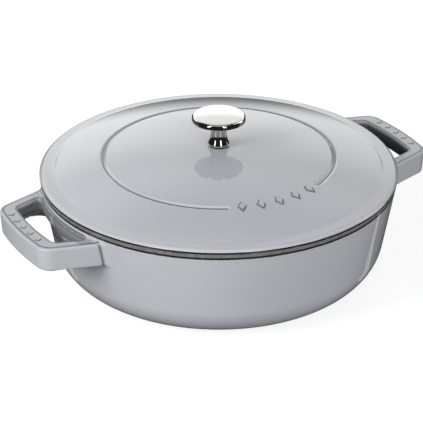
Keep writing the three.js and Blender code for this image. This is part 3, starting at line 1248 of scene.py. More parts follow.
    def lines(self) -> tuple[Numbers, Numbers, Numbers]:
        """Gives the grid lines, finer around the handles and the rim.

        Returns:
            The lines along x, y and z.
        """
        finest, fine, coarse, rim_step = 0.6, 1.15, 2.2, 0.8
        margin, below, root_room, bar_room, arm_room = 3.0, 1.7, 18, 2, 22
        root = self.rim_radius - root_room
        bar = self.reach - self.bar_width - bar_room
        row = self.marks.rows()[-1] + self.marks.width
        side = self.half_span + arm_room
        foot = self.handle_top - self.handle_thickness - margin
        rim = self.height - margin
        half_x = stepped((coarse / 2, coarse), (root, fine), (bar, finest), end=self.reach + margin)
        half_y = stepped((finest / 2, finest), (row, fine), (side, coarse), end=self.rim_radius + margin)
        up = stepped((-below, coarse), (foot, fine), (rim, rim_step), end=self.height + margin)
        x, y = (np.concatenate([-half[::-1], half]) for half in (half_x, half_y))
        return x, y, up

    def build(self, enamel: bpy.types.Material) -> None:
        """Makes the casting's piece.

        Args:
            enamel: Its finish.
        """
        shell = FieldMesher(self.solid, self.lines()).shell(self.triangles, self.detailed)
        x, y, z = shell.places.T
        r = np.hypot(x, y)
        inside = np.abs(self.cavity(r, z)) < self.wall / 2
        lining = inside & (r < self.wall_radius(z) - self.wall / 2)
        # The handles carry their share of painted shade as a zone.
        shell.zones = {Zone.LINING: lining.astype(float), Zone.THIN: self.thin_glaze(x, y, z)}
        shell.piece("pot_casting", "pot", Slot.ENAMEL, enamel, "pot")


@dataclass
class Lid:
    """The domed lid with its broken ring groove, locating ring and drip nubs.

    Attributes:
        radius, seat: Outside radius, and the height of the brim's underside.
        brim_thickness, brim_width, brim_blend: Brim's sizes, and the softness of its meeting with the dome.
        brim_slope, brim_round, brim_turn: Fall of the brim in degrees, its rolled edge and where that ends.
        rise, thickness: Brim's top to the knob's seat, and the dome's thickness.
        foot_swell, foot_run: How far the dome swells near its foot, and the width in which that ends.
        seat_radius, hole: Flat seat and hole at the middle.
        ring_depth, ring_width, ring_outer, ring_lean: Locating ring, which leans in by degrees.
        groove_radius, groove_half, groove_depth, groove_break: Ring groove, with its break in degrees.
        marks: Raised lozenges in the break.
        flank_slope: Slope at which a lozenge's flank takes full painted shade.
        line_share, line_shift: Painted shade line along the groove: its share, and how far outside its middle
            it lies.
        line_start, line_run: Share of the groove's depth at which that line begins, and what it grows over.
        nub_rings, nub_pitch, nubs_per_ring, nub_radius, nub_drop: Drip nubs under the dome.
        nub_shape: Points down a nub's side, as shares of its radius and its drop.
        nub_skirt, nub_columns: Foot's radius as a share of the nub's, and columns round a nub.
    """

    radius: float = 145.0
    seat: float = 86.3
    brim_thickness: float = 3.0
    brim_width: float = 11.0
    brim_blend: float = 0.5
    brim_slope: float = 5.0
    brim_round: float = 4.6
    brim_turn: float = 57.0
    rise: float = 17.4
    thickness: float = 3.5
    foot_swell: float = 0.2
    foot_run: float = 3.0
    seat_radius: float = 10.0
    hole: float = 3.3
    ring_depth: float = 5.0
    ring_width: float = 4.0
    ring_outer: float = 139.8
    ring_lean: float = 9.8
    groove_radius: float = 93.8
    groove_half: float = 3.0
    groove_depth: float = 1.0
    groove_break: float = 52.0
    marks: Marks = Marks(count=5, pitch=15.5, width=8.0, length=13.0, height=0.8, softness=0.36)
    flank_slope: float = 0.4
    line_share: float = 0.9
    line_shift: float = 0.4
    line_start: float = 0.62
    line_run: float = 0.33
    nub_rings: int = 3
    nub_pitch: float = 30.0
    nubs_per_ring: int = 6
    nub_radius: float = 3.6
    nub_drop: float = 3.0
    nub_shape: tuple[tuple[float, float], ...] = (
        (0, 1),
        (0.35, 0.96),
        (0.62, 0.74),
        (0.84, 0.4),
        (1.02, 0.14),
    )
    nub_skirt: float = 1.35
    nub_columns: int = 14

    @property
    def brim_top(self) -> float:
        """Height of the brim's top."""
        return self.seat + self.brim_thickness

    @property
    def apex(self) -> float:
        """Height of the knob's seat."""
        return self.brim_top + self.rise

    @property
    def dome_centre(self) -> float:
        """Height of the dome's centre on the axis."""
        foot = self.radius - self.brim_width
        spread = self.seat_radius**2 - foot**2 + self.apex**2 - self.brim_top**2
        return spread / (2 * self.rise)

    @property
    def dome_radius(self) -> float:
        """Radius of the dome's outside."""
        return math.hypot(self.seat_radius, self.apex - self.dome_centre)

    @property
    def underside(self) -> float:
        """Height of the flat under the knob's seat."""
        return float(self.dome(self.seat_radius, self.thickness))

    def dome(self, r: Numbers, depth: float = 0.0) -> Numbers:
        """Gives the dome's height at a radius, at a depth below its outside."""
        return self.dome_centre + np.sqrt((self.dome_radius - depth) ** 2 - np.square(r))

    def brim(self, r: Numbers) -> Numbers:
        """Gives the height of the brim's top, which falls a little and then rolls over at its edge.

        Args:
            r: Distances from the axis.

        Returns:
            The heights.
        """
        slope, turn = math.radians(self.brim_slope), math.radians(self.brim_turn)
        centre = self.radius - self.brim_round * math.sin(turn)
        roll = centre + self.brim_round * math.sin(slope)
        fall = (np.minimum(r, roll) - self.radius + self.brim_width) * math.tan(slope)
        over = np.clip((r - centre) / self.brim_round, math.sin(slope), 1)
        return self.brim_top - fall - self.brim_round * (math.cos(slope) - np.sqrt(1 - over**2))

    def crown(self, r: Numbers) -> Numbers:
        """Gives the height of the lid's top without its relief.

        Args:
            r: Distances from the axis.

        Returns:
            The heights.
        """
        foot = self.radius - self.brim_width
        inner = self.groove_radius + self.groove_half
        rising = smooth_step((r - inner) / (foot - self.foot_run - inner))
        swell = rising * smooth_step((foot - r) / self.foot_run)
        dome = np.minimum(self.dome(r), self.apex) + self.foot_swell * swell
        brim = self.brim(r)
        blended = (dome + brim + np.hypot(dome - brim, self.brim_blend)) / 2
        # The blend also lifts the dome a little where it stands high above the brim, which is taken off.
        usual_gap = 10.0
        return blended - self.brim_blend**2 / (4 * usual_gap)

    def relief(self, x: Numbers, y: Numbers) -> Numbers:
        """Gives the depth of the groove and the height of the lozenges.

        Args:
            x, y: Places seen from above.

        Returns:
            What they add to the crown's height.
        """
        r = np.hypot(x, y)
        turn = np.arctan2(x, -y)
        half = math.radians(self.groove_break) / 2
        end = (self.groove_radius * math.sin(half), -self.groove_radius * math.cos(half))
        to_end = np.hypot(np.abs(x) - end[0], y - end[1])
        away = np.where(np.abs(turn) < half, to_end, np.abs(r - self.groove_radius))
        added = -self.groove_depth * (1 - smooth_step(away / self.groove_half))
        for row in self.marks.rows():
            added = added + self.marks.raised(self.groove_radius * turn - row, r - self.groove_radius)
        return added

    def top(self, x: Numbers, y: Numbers) -> Numbers:
        """Gives the height of the lid's top."""
        return self.crown(np.hypot(x, y)) + self.relief(x, y)

    def top_radii(self) -> Numbers:
        """Gives the radii of the top's rows, close together at the groove and the brim.

        Returns:
            The radii, from the edge inwards.
        """
        inner_rows, groove_rows, outer_rows, brim_rows, edge_rows = 15, 41, 8, 23, 11
        seat_gap, foot_gap, edge_width = 1.5, 5, 5
        band = self.marks.length / 2 + self.groove_half
        inside, outside = self.groove_radius - band, self.groove_radius + band
        foot = self.radius - self.brim_width - foot_gap
        parts = [
            np.linspace(self.seat_radius + seat_gap, inside, inner_rows)[:-1],
            np.linspace(inside, outside, groove_rows),
            np.linspace(outside, foot, outer_rows)[1:-1],
            np.linspace(foot, self.radius - edge_width, brim_rows)[:-1],
            self.radius - edge_width * (1 - np.sin(np.linspace(0, math.pi / 2, edge_rows))),
        ]
        return np.concatenate(parts)[::-1]

    def profile(self) -> Profile:
        """Gives the lid's outline, from the hole under the seat right round to the hole's top.

        Returns:
            The closed outline.
        """
        hole_round, root_round, ring_round, seat_round = 0.3, 2.0, 1.0, 0.6
        seat_gap, ring_gap, edge_gap, under_rows = 3, 6, 0.25, 16
        inner = self.ring_outer - self.ring_width
        foot = self.seat - self.ring_depth
        draw = self.ring_depth * math.tan(math.radians(self.ring_lean))
        under = np.linspace(self.seat_radius + seat_gap, inner - ring_gap, under_rows)
        corners = [
            (self.hole, self.underside, hole_round),
            (self.seat_radius, self.underside),
            *[(r, self.dome(r, self.thickness)) for r in under],
            (inner, self.dome(inner, self.thickness), root_round),
            (inner, foot, ring_round),
            (self.ring_outer - draw, foot, ring_round),
            (self.ring_outer, self.seat, seat_round),
            (self.radius - edge_gap, self.seat),
            *[(r, self.crown(r)) for r in self.top_radii()],
            (self.seat_radius, self.apex),
            (self.hole, self.apex, hole_round),
        ]
        return Profile.rounded(corners, closed=True)

    def columns(self) -> Numbers:
        """Gives the angles of the lid's columns, close together at the break in the groove.

        Returns:
            The angles in radians.
        """
        room, fine, coarse, middle = 4, 0.5, 2.0, -90
        half = self.groove_break / 2 + room
        return np.radians(stepped((-half, fine), (half, coarse), end=360 - half) + middle)

    @staticmethod
    def slopes(
        height: Callable[[Numbers, Numbers], Numbers], x: Numbers, y: Numbers
    ) -> tuple[Numbers, Numbers]:
        """Measures how steeply a height rises.

        Args:
            height: Gives the height at places seen from above.
            x, y: The places.

        Returns:
            The slopes along x and along y.
        """
        step = 0.05
        slope_x = (height(x + step, y) - height(x - step, y)) / (2 * step)
        slope_y = (height(x, y + step) - height(x, y - step)) / (2 * step)
        return slope_x, slope_y

    def thin_glaze(self, x: Numbers, y: Numbers) -> Numbers:
        """Tells where shade is painted on the top: on the lozenges' flanks and along the groove.

        Args:
            x, y: Places seen from above.

        Returns:
            A share from 0 to 1 at each place.
        """
        flanks = smooth_step(np.hypot(*self.slopes(self.relief, x, y)) / self.flank_slope)
        outward = 1 - self.line_shift / np.maximum(np.hypot(x, y), self.seat_radius)
        sunk = -self.relief(x * outward, y * outward) / self.groove_depth
        line = self.line_share * smooth_step((sunk - self.line_start) / self.line_run)
        return np.where(sunk > 0, line, flanks)

    def build(self, enamel: bpy.types.Material) -> None:
        """Makes the lid's pieces.

        Args:
            enamel: Their finish.
        """
        shell = self.profile().turned(self.columns())
        x, y, z = shell.places.T
        r = np.hypot(x, y)
        above_seat, edge_gap, seat_gap, upward = 0.1, 0.02, 1, 0.5
        on_top = (z > self.seat + above_seat) & (r < self.radius - edge_gap)
        on_top &= (r > self.seat_radius + seat_gap) & (shell.normals[:, 2] > upward)
        slope_x, slope_y = self.slopes(self.top, x, y)
        facing = np.stack([-slope_x, -slope_y, np.ones_like(x)], 1)
        facing /= np.linalg.norm(facing, axis=1, keepdims=True)
        shell.places[on_top, 2] = self.top(x, y)[on_top]
        shell.normals[on_top] = facing[on_top]
        ring_gap, lining_top = 4, 0.4
        inside = r < self.ring_outer - self.ring_width - ring_gap
        middle = np.where(inside, self.dome(r, self.thickness / 2), self.seat + lining_top)
        # The top carries painted shade on the lozenges' flanks and in the groove.
        thin = np.where(on_top, self.thin_glaze(x, y), 0)
        shell.zones = {Zone.LINING: (z < middle).astype(float), Zone.THIN: thin}
        shell.piece("lid_casting", "lid", Slot.ENAMEL, enamel, "lid")
        self._nubs().piece("lid_drip_nubs", "lid", Slot.ENAMEL, enamel, None)

    def _nubs(self) -> Shell:
        """Makes the drip nubs, each a soft drop that hangs from the dome.

        Returns:
            One shell of all the nubs.
        """
        places, faces, normals = [], [], []
        start = 0
        overlap, root, root_share = 0.3, 1.6, 0.8
        skirt = self.nub_radius * self.nub_skirt
        for ring in range(1, self.nub_rings + 1):
            radius = ring * self.nub_pitch
            count = ring * self.nubs_per_ring
            top = float(self.dome(radius, self.thickness))
            corners = [(self.nub_radius * out, top - self.nub_drop * down) for out, down in self.nub_shape]
            corners += [(skirt, top + overlap), (skirt * root_share, top + root), (0, top + root)]
            for angle in full_turn(count):
                middle = np.array([math.cos(angle), math.sin(angle)]) * radius
                drop = Profile.rounded(corners).turned(full_turn(self.nub_columns))
                drop.places[:, :2] += middle
                places.append(drop.places)
                normals.append(drop.normals)
                faces += [[v + start for v in face] for face in drop.faces]
                start += len(drop.places)
        made = Shell(np.concatenate(places), faces, np.concatenate(normals))
        made.zones = {Zone.LINING: np.ones(len(made.places))}
        return made


@dataclass
class KnobSet:
    """The knob with its gasket, screw and washers.

    Attributes:
        seat, underside: Heights of the lid's top and underside at its middle.
        radius, height, crown: Cap's radius, knob's height and the rise of its top.
        band, band_taper: Height and taper of the cap's edge band.
        shoulder, edge: Roundings above and below the band.
        neck, foot, foot_height: Radii of the neck and the foot, and the foot's straight height.
        foot_round, bore_round: Roundings of the foot's lower edge and of the bore.
        neck_foot, neck_top: Heights above the foot between which the neck is straight.
        foot_pull, neck_pull: Controls of the curve from foot to neck, as a step aside and a height.
        throat_pull, cap_pull, cap_flat: Controls of the curve from neck to cap, and the flat beside it.
        gasket_thickness, gasket_radius: Gasket's sizes.
        screw, screw_length, thread_pitch, thread_depth: Screw's radius, length and thread.
        head, head_height, slot_width, slot_length, slot_depth: Screw's head and its cross recess.
        clearance, runout: Space round the screw, and bore beyond its tip.
        washer, washer_thickness: Flat washer.
        lock, lock_thickness, slit, slit_lean: Lock washer, with its slit and the slit's lean in degrees.
        contact: Space between stacked pieces.
        gasket_round, washer_round, lock_round: Roundings of the rings' edges.
        knob_columns, ring_columns, lock_columns: Columns round the turned pieces.
        screw_triangles: About how many triangles the screw keeps.
    """

    seat: float
    underside: float
    radius: float = 21.8
    height: float = 27.2
    crown: float = 1.6
    band: float = 4.1
    band_taper: float = 0.35
    shoulder: float = 2.5
    edge: float = 0.5
    neck: float = 6.4
    foot: float = 8.7
    foot_height: float = 2.0
    foot_round: float = 1.3
    bore_round: float = 0.3
    neck_foot: float = 10.6
    neck_top: float = 13.5
    foot_pull: tuple[float, float] = (0.55, 3.6)
    neck_pull: tuple[float, float] = (0.1, 6.0)
    throat_pull: tuple[float, float] = (0.1, 1.6)
    cap_pull: float = 3.0
    cap_flat: float = 1.5
    gasket_thickness: float = 0.9
    gasket_radius: float = 7.9
    screw: float = 3.0
    screw_length: float = 16.0
    thread_pitch: float = 1.0
    thread_depth: float = 0.5
    head: float = 6.0
    head_height: float = 3.6
    slot_width: float = 1.3
    slot_length: float = 6.0
    slot_depth: float = 2.0
    clearance: float = 0.3
    runout: float = 2.0
    washer: float = 9.0
    washer_thickness: float = 1.6
    lock: float = 5.9
    lock_thickness: float = 1.6
    slit: float = 1.0
    slit_lean: float = 30.0
    contact: float = 0.05
    gasket_round: float = 0.15
    washer_round: float = 0.3
    lock_round: float = 0.25
    knob_columns: int = 96
    ring_columns: int = 64
    lock_columns: int = 56
    screw_triangles: int = 12_000

    @property
    def hole(self) -> float:
        """Radius of the holes that the screw passes."""
        return self.screw + self.clearance

    @property
    def knob_foot(self) -> float:
        """Height of the knob's foot."""
        return self.seat + self.gasket_thickness + 2 * self.contact

    @property
    def washer_top(self) -> float:
        """Height of the flat washer's top."""
        return self.underside - self.contact

    @property
    def lock_top(self) -> float:
        """Height of the lock washer's top."""
        return self.washer_top - self.washer_thickness - self.contact

    @property
    def head_top(self) -> float:
        """Height of the side of the screw's head that presses on the lock washer."""
        return self.lock_top - self.lock_thickness - self.contact

    @staticmethod
    def bezier(ends: Sequence[Sequence[float]], steps: int) -> list[tuple[float, float]]:
        """Gives points along a cubic curve.

        Args:
            ends: Its start, two controls and end, as radius and height.
            steps: Number of steps.

        Returns:
            The points, both ends included.
        """
        spots = np.array(ends, float)
        share = np.linspace(0, 1, steps + 1)[:, None]
        weights = ((1 - share) ** 3, 3 * share * (1 - share) ** 2, 3 * share**2 * (1 - share), share**3)
        return [tuple(p) for p in sum(w * s for w, s in zip(weights, spots))]

    def knob_profile(self) -> Profile:
        """Gives the knob's outline, from the end of its bore down and out to the top of its cap.

        Returns:
            The outline.
        """
        flare_steps, under_steps, cap_rows, lip_room = 12, 14, 13, 1.2
        foot = self.knob_foot
        top = foot + self.height
        band_foot = top - self.crown - self.band
        bore = self.head_top + self.screw_length + self.runout
        flare = [
            (self.foot, foot + self.foot_height),
            (self.foot - self.foot_pull[0], foot + self.foot_pull[1]),
            (self.neck + self.neck_pull[0], foot + self.neck_pull[1]),
            (self.neck, foot + self.neck_foot),
        ]
        under = [
            (self.neck, foot + self.neck_top),
            (self.neck + self.throat_pull[0], band_foot - self.throat_pull[1]),
            (self.neck + self.cap_pull, band_foot),
            (self.radius - self.cap_flat, band_foot),
        ]
        dome = (self.radius**2 + self.crown**2) / (2 * self.crown)
        lip = self.radius - self.band_taper
        inside = np.linspace(lip - lip_room * self.shoulder, 0, cap_rows)
        cap = [(r, top - dome + math.sqrt(dome**2 - r**2)) for r in (lip, *inside)]
        corners = [
            (0, bore),
            (self.hole, bore, self.bore_round),
            (self.hole, foot, self.bore_round),
            (self.foot, foot, self.foot_round),
            *self.bezier(flare, flare_steps),
            *self.bezier(under, under_steps),
            (self.radius, band_foot, self.edge),
            (*cap[0], self.shoulder),
            *cap[1:],
        ]
        return Profile.rounded(corners)

    def flat_ring(self, outer: float, top: float, thickness: float, rounding: float) -> Profile:
        """Gives the outline of a flat ring round the screw.

        Args:
            outer: Its radius.
            top: Height of its top.
            thickness: Its thickness.
            rounding: Rounding of its edges.

        Returns:
            The outline.
        """
        bottom = top - thickness
        corners = [(self.hole, bottom), (outer, bottom), (outer, top), (self.hole, top)]
        return Profile.rounded([(*corner, rounding) for corner in corners], closed=True)

    def lock_washer(self) -> Shell:
        """Makes the split lock washer, whose slit leans.

        Returns:
            Its shell.
        """
        section = self.flat_ring(self.lock, self.lock_top, self.lock_thickness, self.lock_round).points
        middle = self.lock_top - self.lock_thickness / 2
        lean = (section[:, 1] - middle) * math.tan(math.radians(self.slit_lean)) / section[:, 0]
        half = self.slit / 2 / section[:, 0]
        columns, rows = self.lock_columns, len(section)
        places = []
        for share in np.linspace(0, 1, columns):
            angle = lean + half + share * (2 * math.pi - 2 * half)
            ring = [section[:, 0] * np.cos(angle), section[:, 0] * np.sin(angle), section[:, 1]]
            places.append(np.stack(ring, 1))
        faces = [list(range(rows)), [(columns - 1) * rows + i for i in reversed(range(rows))]]
        for j in range(columns - 1):
            for i in range(rows):
                k = (i + 1) % rows
                faces.append([j * rows + i, (j + 1) * rows + i, (j + 1) * rows + k, j * rows + k])
        return Shell(np.concatenate(places), faces)

    def screw_solid(self, x: Numbers, y: Numbers, z: Numbers) -> Numbers:
        """Gives the field of the threaded screw with its cross recess.

        Args:
            x, y, z: Places.

        Returns:
            The signed field.
        """
        head_edge, tip_round, overlap = 0.25, 0.5, 1.0
        thread_start, thread_slope, draw = 0.3, 0.75, 0.25
        r = np.hypot(x, y)
        bottom = self.head_top - self.head_height
        tip = self.head_top + self.screw_length
        head = rounded_cut(r - self.head, bottom - z, self.head_height / 2)
        head = rounded_cut(head, z - self.head_top, head_edge)
        phase = (z / self.thread_pitch - np.arctan2(y, x) / (2 * math.pi)) % 1.0
        runs_in = smooth_step(z - self.head_top - thread_start)
        shank = r - self.screw + self.thread_depth * runs_in * np.abs(2 * phase - 1)
        shank = np.maximum(rounded_cut(shank * thread_slope, z - tip, tip_round), bottom + overlap - z)
        depth = z - bottom
        taper = draw * np.clip(depth, 0, None)
        arms = []
        for along, across in ((x, y), (y, x)):
            end = np.abs(along) - self.slot_length / 2 + taper
            arms.append(np.maximum(end, np.abs(across) - self.slot_width / 2 + taper / 3))
        recess = np.maximum(np.minimum(*arms), depth - self.slot_depth)
        return np.maximum(np.minimum(head, shank), -recess)

    def build(
        self, polished: bpy.types.Material, rubber: bpy.types.Material, steel: bpy.types.Material
    ) -> None:
        """Makes the pieces of the knob and its fixing.

        Args:
            polished, rubber, steel: Finishes of the knob, the gasket and the rest.
        """
        knob = self.knob_profile().turned(full_turn(self.knob_columns))
        knob.piece("knob_turned", "knob", Slot.POLISHED, polished, "knob")
        around = full_turn(self.ring_columns)
        gasket_top = self.knob_foot - self.contact
        gasket = self.flat_ring(self.gasket_radius, gasket_top, self.gasket_thickness, self.gasket_round)
        gasket.turned(around).piece("gasket_ring", "lid", Slot.RUBBER, rubber, "knob_gasket")
        washer = self.flat_ring(self.washer, self.washer_top, self.washer_thickness, self.washer_round)
        washer.turned(around).piece("flat_washer_ring", "screw", Slot.STEEL, steel, "flat_washer")
        self.lock_washer().piece("lock_washer_ring", "screw", Slot.STEEL, steel, "lock_washer")
        margin, across_step, up_step = 0.5, 0.23, 0.17
        foot, tip = self.head_top - self.head_height, self.head_top + self.screw_length
        across = np.arange(-self.head - margin, self.head + margin, across_step)
        up = np.arange(foot - margin, tip + margin, up_step)
        screw = FieldMesher(self.screw_solid, (across, across, up)).shell(self.screw_triangles)
        screw.piece("cross_head_screw", "screw", Slot.STEEL, steel, "knob_screw")


@dataclass(frozen=True)
class Lamp:
    """A square lamp that faces the pot.

    Attributes:
        name: Name of the lamp.
        azimuth, elevation: Where it stands, in degrees right of the camera and above the horizon.
        power: Its power in watts.
        away, size: Its distance from the target and its side, in metres.
    """

    name: str
    azimuth: float
    elevation: float
    power: float
    away: float = 1.9
    size: float = 1.0


@dataclass(frozen=True)
class Backdrop:
    """White paper behind the pot, dark cloth round the camera and strips of light, for reflections alone.

    Directions are in degrees, right of the camera and above the horizon.

    Attributes:
        away, step: Distance from the target in metres, and the width of a facet.
        bottom, top: Elevations that the facets span.
        cloth, paper, strip, ceiling: Brightness of the parts, where 1 is white.
        strips, strip_foot, strip_top: Sides of each strip of light, and the elevations that all span.
        paper_start, paper_run: Where the paper begins on both sides, and the width in which it grows.
        left_gain: How much more the paper shines on the left.
        side_start, side_run, side_lift: Where its sides begin, in what width, and how much higher they hang.
        foot, foot_run: Its lower edge, and the width in which it grows.
        fade_start, fade_run, fade: Where it fades, in what width, and by how much.
        end_start, end_run: Where it ends, and in what width.
        ceiling_start, ceiling_run: Where the ceiling begins, and in what width.
        glint, glint_start, glint_heading: Two glowing strips on the floor, which paint an upright highlight
            on each side of the wall: brightness, start and heading.
        glint_radius, glint_gap, glint_length, glint_half: Their distance from the axis and sizes, in metres.
        glint_level: Their height in metres.
    """

    away: float = 1.9
    step: int = 2
    bottom: int = -70
    top: int = 90
    cloth: float = 0.02
    paper: float = 2.1
    strip: float = 2.6
    ceiling: float = 0.6
    strips: tuple[tuple[float, float], ...] = ((-50, -36), (19, 33), (103, 119))
    strip_foot: float = 4
    strip_top: float = 60
    paper_start: float = 105
    paper_run: float = 30
    left_gain: float = 0.15
    side_start: float = 164
    side_run: float = 8
    side_lift: float = 16
    foot: float = -2.5
    foot_run: float = 11
    fade_start: float = 18
    fade_run: float = 14
    fade: float = 0.4
    end_start: float = 36
    end_run: float = 20
    ceiling_start: float = 58
    ceiling_run: float = 20
    glint: float = 0.6
    glint_start: float = 60
    glint_heading: float = 131
    glint_radius: float = 0.13
    glint_gap: float = 0.02
    glint_length: float = 0.13
    glint_half: float = 0.005
    glint_level: float = -0.00005

    def glow(self, azimuth: float, elevation: float) -> float:
        """Gives the brightness in a direction.

        Args:
            azimuth, elevation: The direction.

        Returns:
            The brightness.
        """
        on_strip = any(start < azimuth < end for start, end in self.strips)
        if on_strip and self.strip_foot < elevation < self.strip_top:
            return self.strip
        behind = smooth_step((abs(azimuth) - self.paper_start) / self.paper_run)
        left = 1 - self.left_gain * math.sin(math.radians(azimuth))
        aside = smooth_step((self.side_start - abs(azimuth)) / self.side_run)
        risen = smooth_step((elevation - self.foot - self.side_lift * aside) / self.foot_run)
        faded = 1 - self.fade * smooth_step((elevation - self.fade_start) / self.fade_run)
        low = 1 - smooth_step((elevation - self.end_start) / self.end_run)
        above = self.ceiling * float(smooth_step((elevation - self.ceiling_start) / self.ceiling_run))
        return self.cloth + above + self.paper * left * float(behind * risen * faded * low)


@dataclass(frozen=True)
class Studio:
    """Camera, floor and plain soft light.

    Attributes:
        target: Middle of the rim in metres, which the camera's place is measured from.
        distance, azimuth, elevation: Camera's place, in metres and degrees.
        slide, lift: How far the camera aims right of and above the target, in metres.
        lens, sensor: Focal length and width of the sensor, in millimetres.
        ambient: World's light on the object.
        lamps: The left, the right and the back lamp.
        backdrop: What the reflections show.
        floor_half, floor_level: Half side and height of the floor, in metres.
        floor_tone, floor_roughness: Colour and roughness of the floor.
        floor_lift: What the floor adds near the pot for the rays that see the white surroundings.
        lift_start, lift_end: Distances in metres between which that becomes white.
    """

    target: tuple[float, float, float] = (0.0, 0.0, 0.086)
    distance: float = 1.6
    azimuth: float = -30.0
    elevation: float = 26.14
    slide: float = -0.00576
    lift: float = -0.03505
    lens: float = 167.83
    sensor: float = 36.0
    ambient: float = 0.27
    lamps: tuple[Lamp, ...] = (
        Lamp("key", azimuth=-60, elevation=24, power=37.0),
        Lamp("fill", azimuth=28, elevation=20, power=26.0),
        Lamp("rear", azimuth=175, elevation=10, power=10.0),
    )
    backdrop: Backdrop = Backdrop()
    floor_half: float = 6.0
    floor_level: float = -0.0002
    floor_tone: Colour = (0.28, 0.28, 0.28, 1.0)
    floor_roughness: float = 0.9
    floor_lift: float = 0.8
    lift_start: float = 0.2
    lift_end: float = 0.6

    def direction(self, azimuth: float, elevation: float) -> Vector:
        """Gives the direction from the object at degrees right of the camera and above the horizon."""
        turn, rise = math.radians(self.azimuth + azimuth), math.radians(elevation)
        return Vector((math.sin(turn) * math.cos(rise), -math.cos(turn) * math.cos(rise), math.sin(rise)))

    def camera(self) -> None:
        """Places the camera."""
        back = self.direction(0, self.elevation)
        beside = back.to_track_quat("Z", "Y") @ Vector((self.slide, self.lift, 0))
        data = bpy.data.cameras.new("camera")
        data.sensor_width = self.sensor
        data.lens = self.lens
        made = add_object("camera", data)
        made.location = Vector(self.target) + back * self.distance
        made.rotation_mode = "QUATERNION"
        made.rotation_quaternion = (back * self.distance - beside).to_track_quat("Z", "Y")
        bpy.context.scene.camera = made

    @staticmethod
    def seen(graph: Graph) -> bpy.types.NodeSocket:
        """Tells the rays that see the plain white surroundings from the others.

        Args:
            graph: Graph that asks.

        Returns:
            The socket of 1 for those rays and 0 for the others.
        """
        path = graph.add("ShaderNodeLightPath").outputs
        shares = [path[ray.value] for ray in Ray]
        return graph.math("MAXIMUM", graph.math("MAXIMUM", shares[0], shares[1]), shares[2])

    def world(self) -> None:
        """Makes the white world, which lights the object at a plain level."""
        world = bpy.data.worlds.new("white_room")
        world.use_nodes = True
        graph = Graph(world.node_tree)
        light = world.node_tree.nodes["Background"]
        strength = graph.mix_value(self.seen(graph), self.ambient, 1.0)
        graph.feed(light, {"Color": WHITE, "Strength": strength})
        bpy.context.scene.world = world

    def floor(self) -> None:
        """Makes the plain pale floor."""
        signs = ((-1, -1), (1, -1), (1, 1), (-1, 1))
        corners = [(x * self.floor_half, y * self.floor_half, self.floor_level) for x, y in signs]
        mesh = bpy.data.meshes.new("floor")
        mesh.from_pydata(corners, [], [(0, 1, 2, 3)])
        made = add_object("floor", mesh)
        material, graph, shader = new_material("pale_floor")
        share = graph.ramp(graph.length(graph.place()), self.lift_start, self.lift_end)
        white = graph.mix_value(share, self.floor_lift, 1.0)
        finish = {
            "Base Color": self.floor_tone,
            "Roughness": self.floor_roughness,
            "Specular IOR Level": 0.0,
            "Emission Color": WHITE,
            "Emission Strength": graph.math("MULTIPLY", self.seen(graph), white),
        }
        graph.feed(shader, finish)
        mesh.materials.append(material)

    def light(self, lamp: Lamp) -> None:
        """Places a lamp, which reflections don't show.

        Args:
            lamp: The lamp.
        """
        data = bpy.data.lights.new(lamp.name, "AREA")
        data.size = lamp.size
        data.energy = lamp.power
        made = add_object(lamp.name, data)
        towards = self.direction(lamp.azimuth, lamp.elevation)
        made.location = Vector(self.target) + towards * lamp.away
        made.rotation_mode = "QUATERNION"
        made.rotation_quaternion = towards.to_track_quat("Z", "Y")
        made.visible_glossy = False

    def facets(self) -> list[tuple[Vector, float]]:
        """Gives the facets of the paper and the cloth, which stop just under the pot.

        Returns:
            Place and brightness of the four corners of each facet in turn.
        """
        under, flattest = 0.0001, 0.001
        step = self.backdrop.step
        corners = []
        for azimuth in range(-180, 180, step):
            for elevation in range(self.backdrop.bottom, self.backdrop.top, step):
                for turn, rise in ((0, 0), (step, 0), (step, step), (0, step)):
                    towards = self.direction(azimuth + turn, elevation + rise)
                    down = (self.target[2] + under) / max(-towards.z, flattest)
                    place = Vector(self.target) + towards * min(self.backdrop.away, down)
                    corners.append((place, self.backdrop.glow(azimuth + turn, elevation + rise)))
        return corners

    def glints(self) -> list[tuple[Vector, float]]:
        """Gives the two glowing strips on the floor, which only reflections show, for a painted highlight on
        the wall's sides.

        Returns:
            Place and brightness of the four corners of each strip in turn.
        """
        hung = self.backdrop
        corners = []
        for side in (-1, 1):
            along = self.direction(side * hung.glint_heading, 0)
            near = self.direction(side * hung.glint_start, 0) * hung.glint_radius + along * hung.glint_gap
            far = near + along * hung.glint_length
            across = Vector((-along.y, along.x, 0)) * hung.glint_half
            for end in (near - across, near + across, far + across, far - across):
                corners.append((Vector((end.x, end.y, hung.glint_level)), hung.glint))
        return corners

    def surround(self) -> None:
        """Makes the backdrop, which only reflections show."""
        corners = self.facets() + self.glints()
        mesh = bpy.data.meshes.new("surround")
        faces = np.arange(len(corners)).reshape(-1, 4).tolist()
        mesh.from_pydata([place for place, _ in corners], [], faces)
        levels = [level for _, level in corners]
        mesh.attributes.new(GLOW, "FLOAT", "POINT").data.foreach_set("value", levels)
        made = add_object("surround", mesh)
        material, graph, shader = new_material("paper_and_cloth")
        finish = {
            "Base Color": BLACK,
            "Specular IOR Level": 0.0,
            "Emission Color": WHITE,
            "Emission Strength": graph.carried(GLOW),
        }
        graph.feed(shader, finish)
        mesh.materials.append(material)
        made.visible_camera = False
        made.visible_diffuse = False
        made.visible_shadow = False
        made.visible_transmission = False

    def build(self) -> None:
        """Makes the whole studio."""
        self.camera()
        self.world()
        self.floor()
        for lamp in self.lamps:
            self.light(lamp)
        self.surround()
        bpy.context.scene.view_settings.view_transform = "Standard"


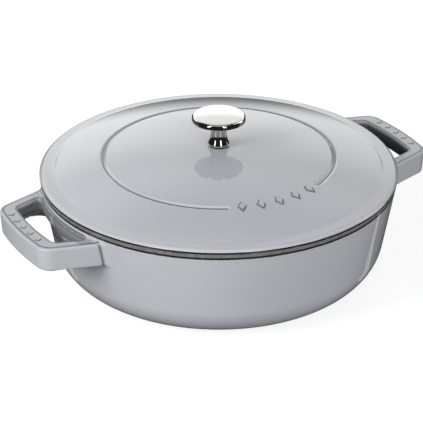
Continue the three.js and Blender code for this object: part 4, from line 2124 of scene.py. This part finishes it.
def main() -> None:
    """Builds the studio, the finishes and the pieces in order."""
    logging.basicConfig(level=logging.INFO, format="%(message)s")
    Studio().build()
    effects = EffectSet(Effects.tone_drift(), Effects.wiped_gloss(), Effects.fine_grain())
    enamel = Enamel().material(effects)
    polished = Metal(
        "polished_steel", tint=srgb(203, 201, 197), roughness=0.03, smear=0.02, turning=6.0
    ).material(effects)
    steel = Metal(
        "plated_steel", tint=srgb(196, 198, 200), roughness=0.25, smear=0.12, turning=0.0
    ).material(effects)
    rubber = Rubber().material(effects)
    PotCasting().build(enamel)
    lid = Lid()
    lid.build(enamel)
    KnobSet(seat=lid.apex, underside=lid.underside).build(polished, rubber, steel)


if __name__ == "__main__":
    main()
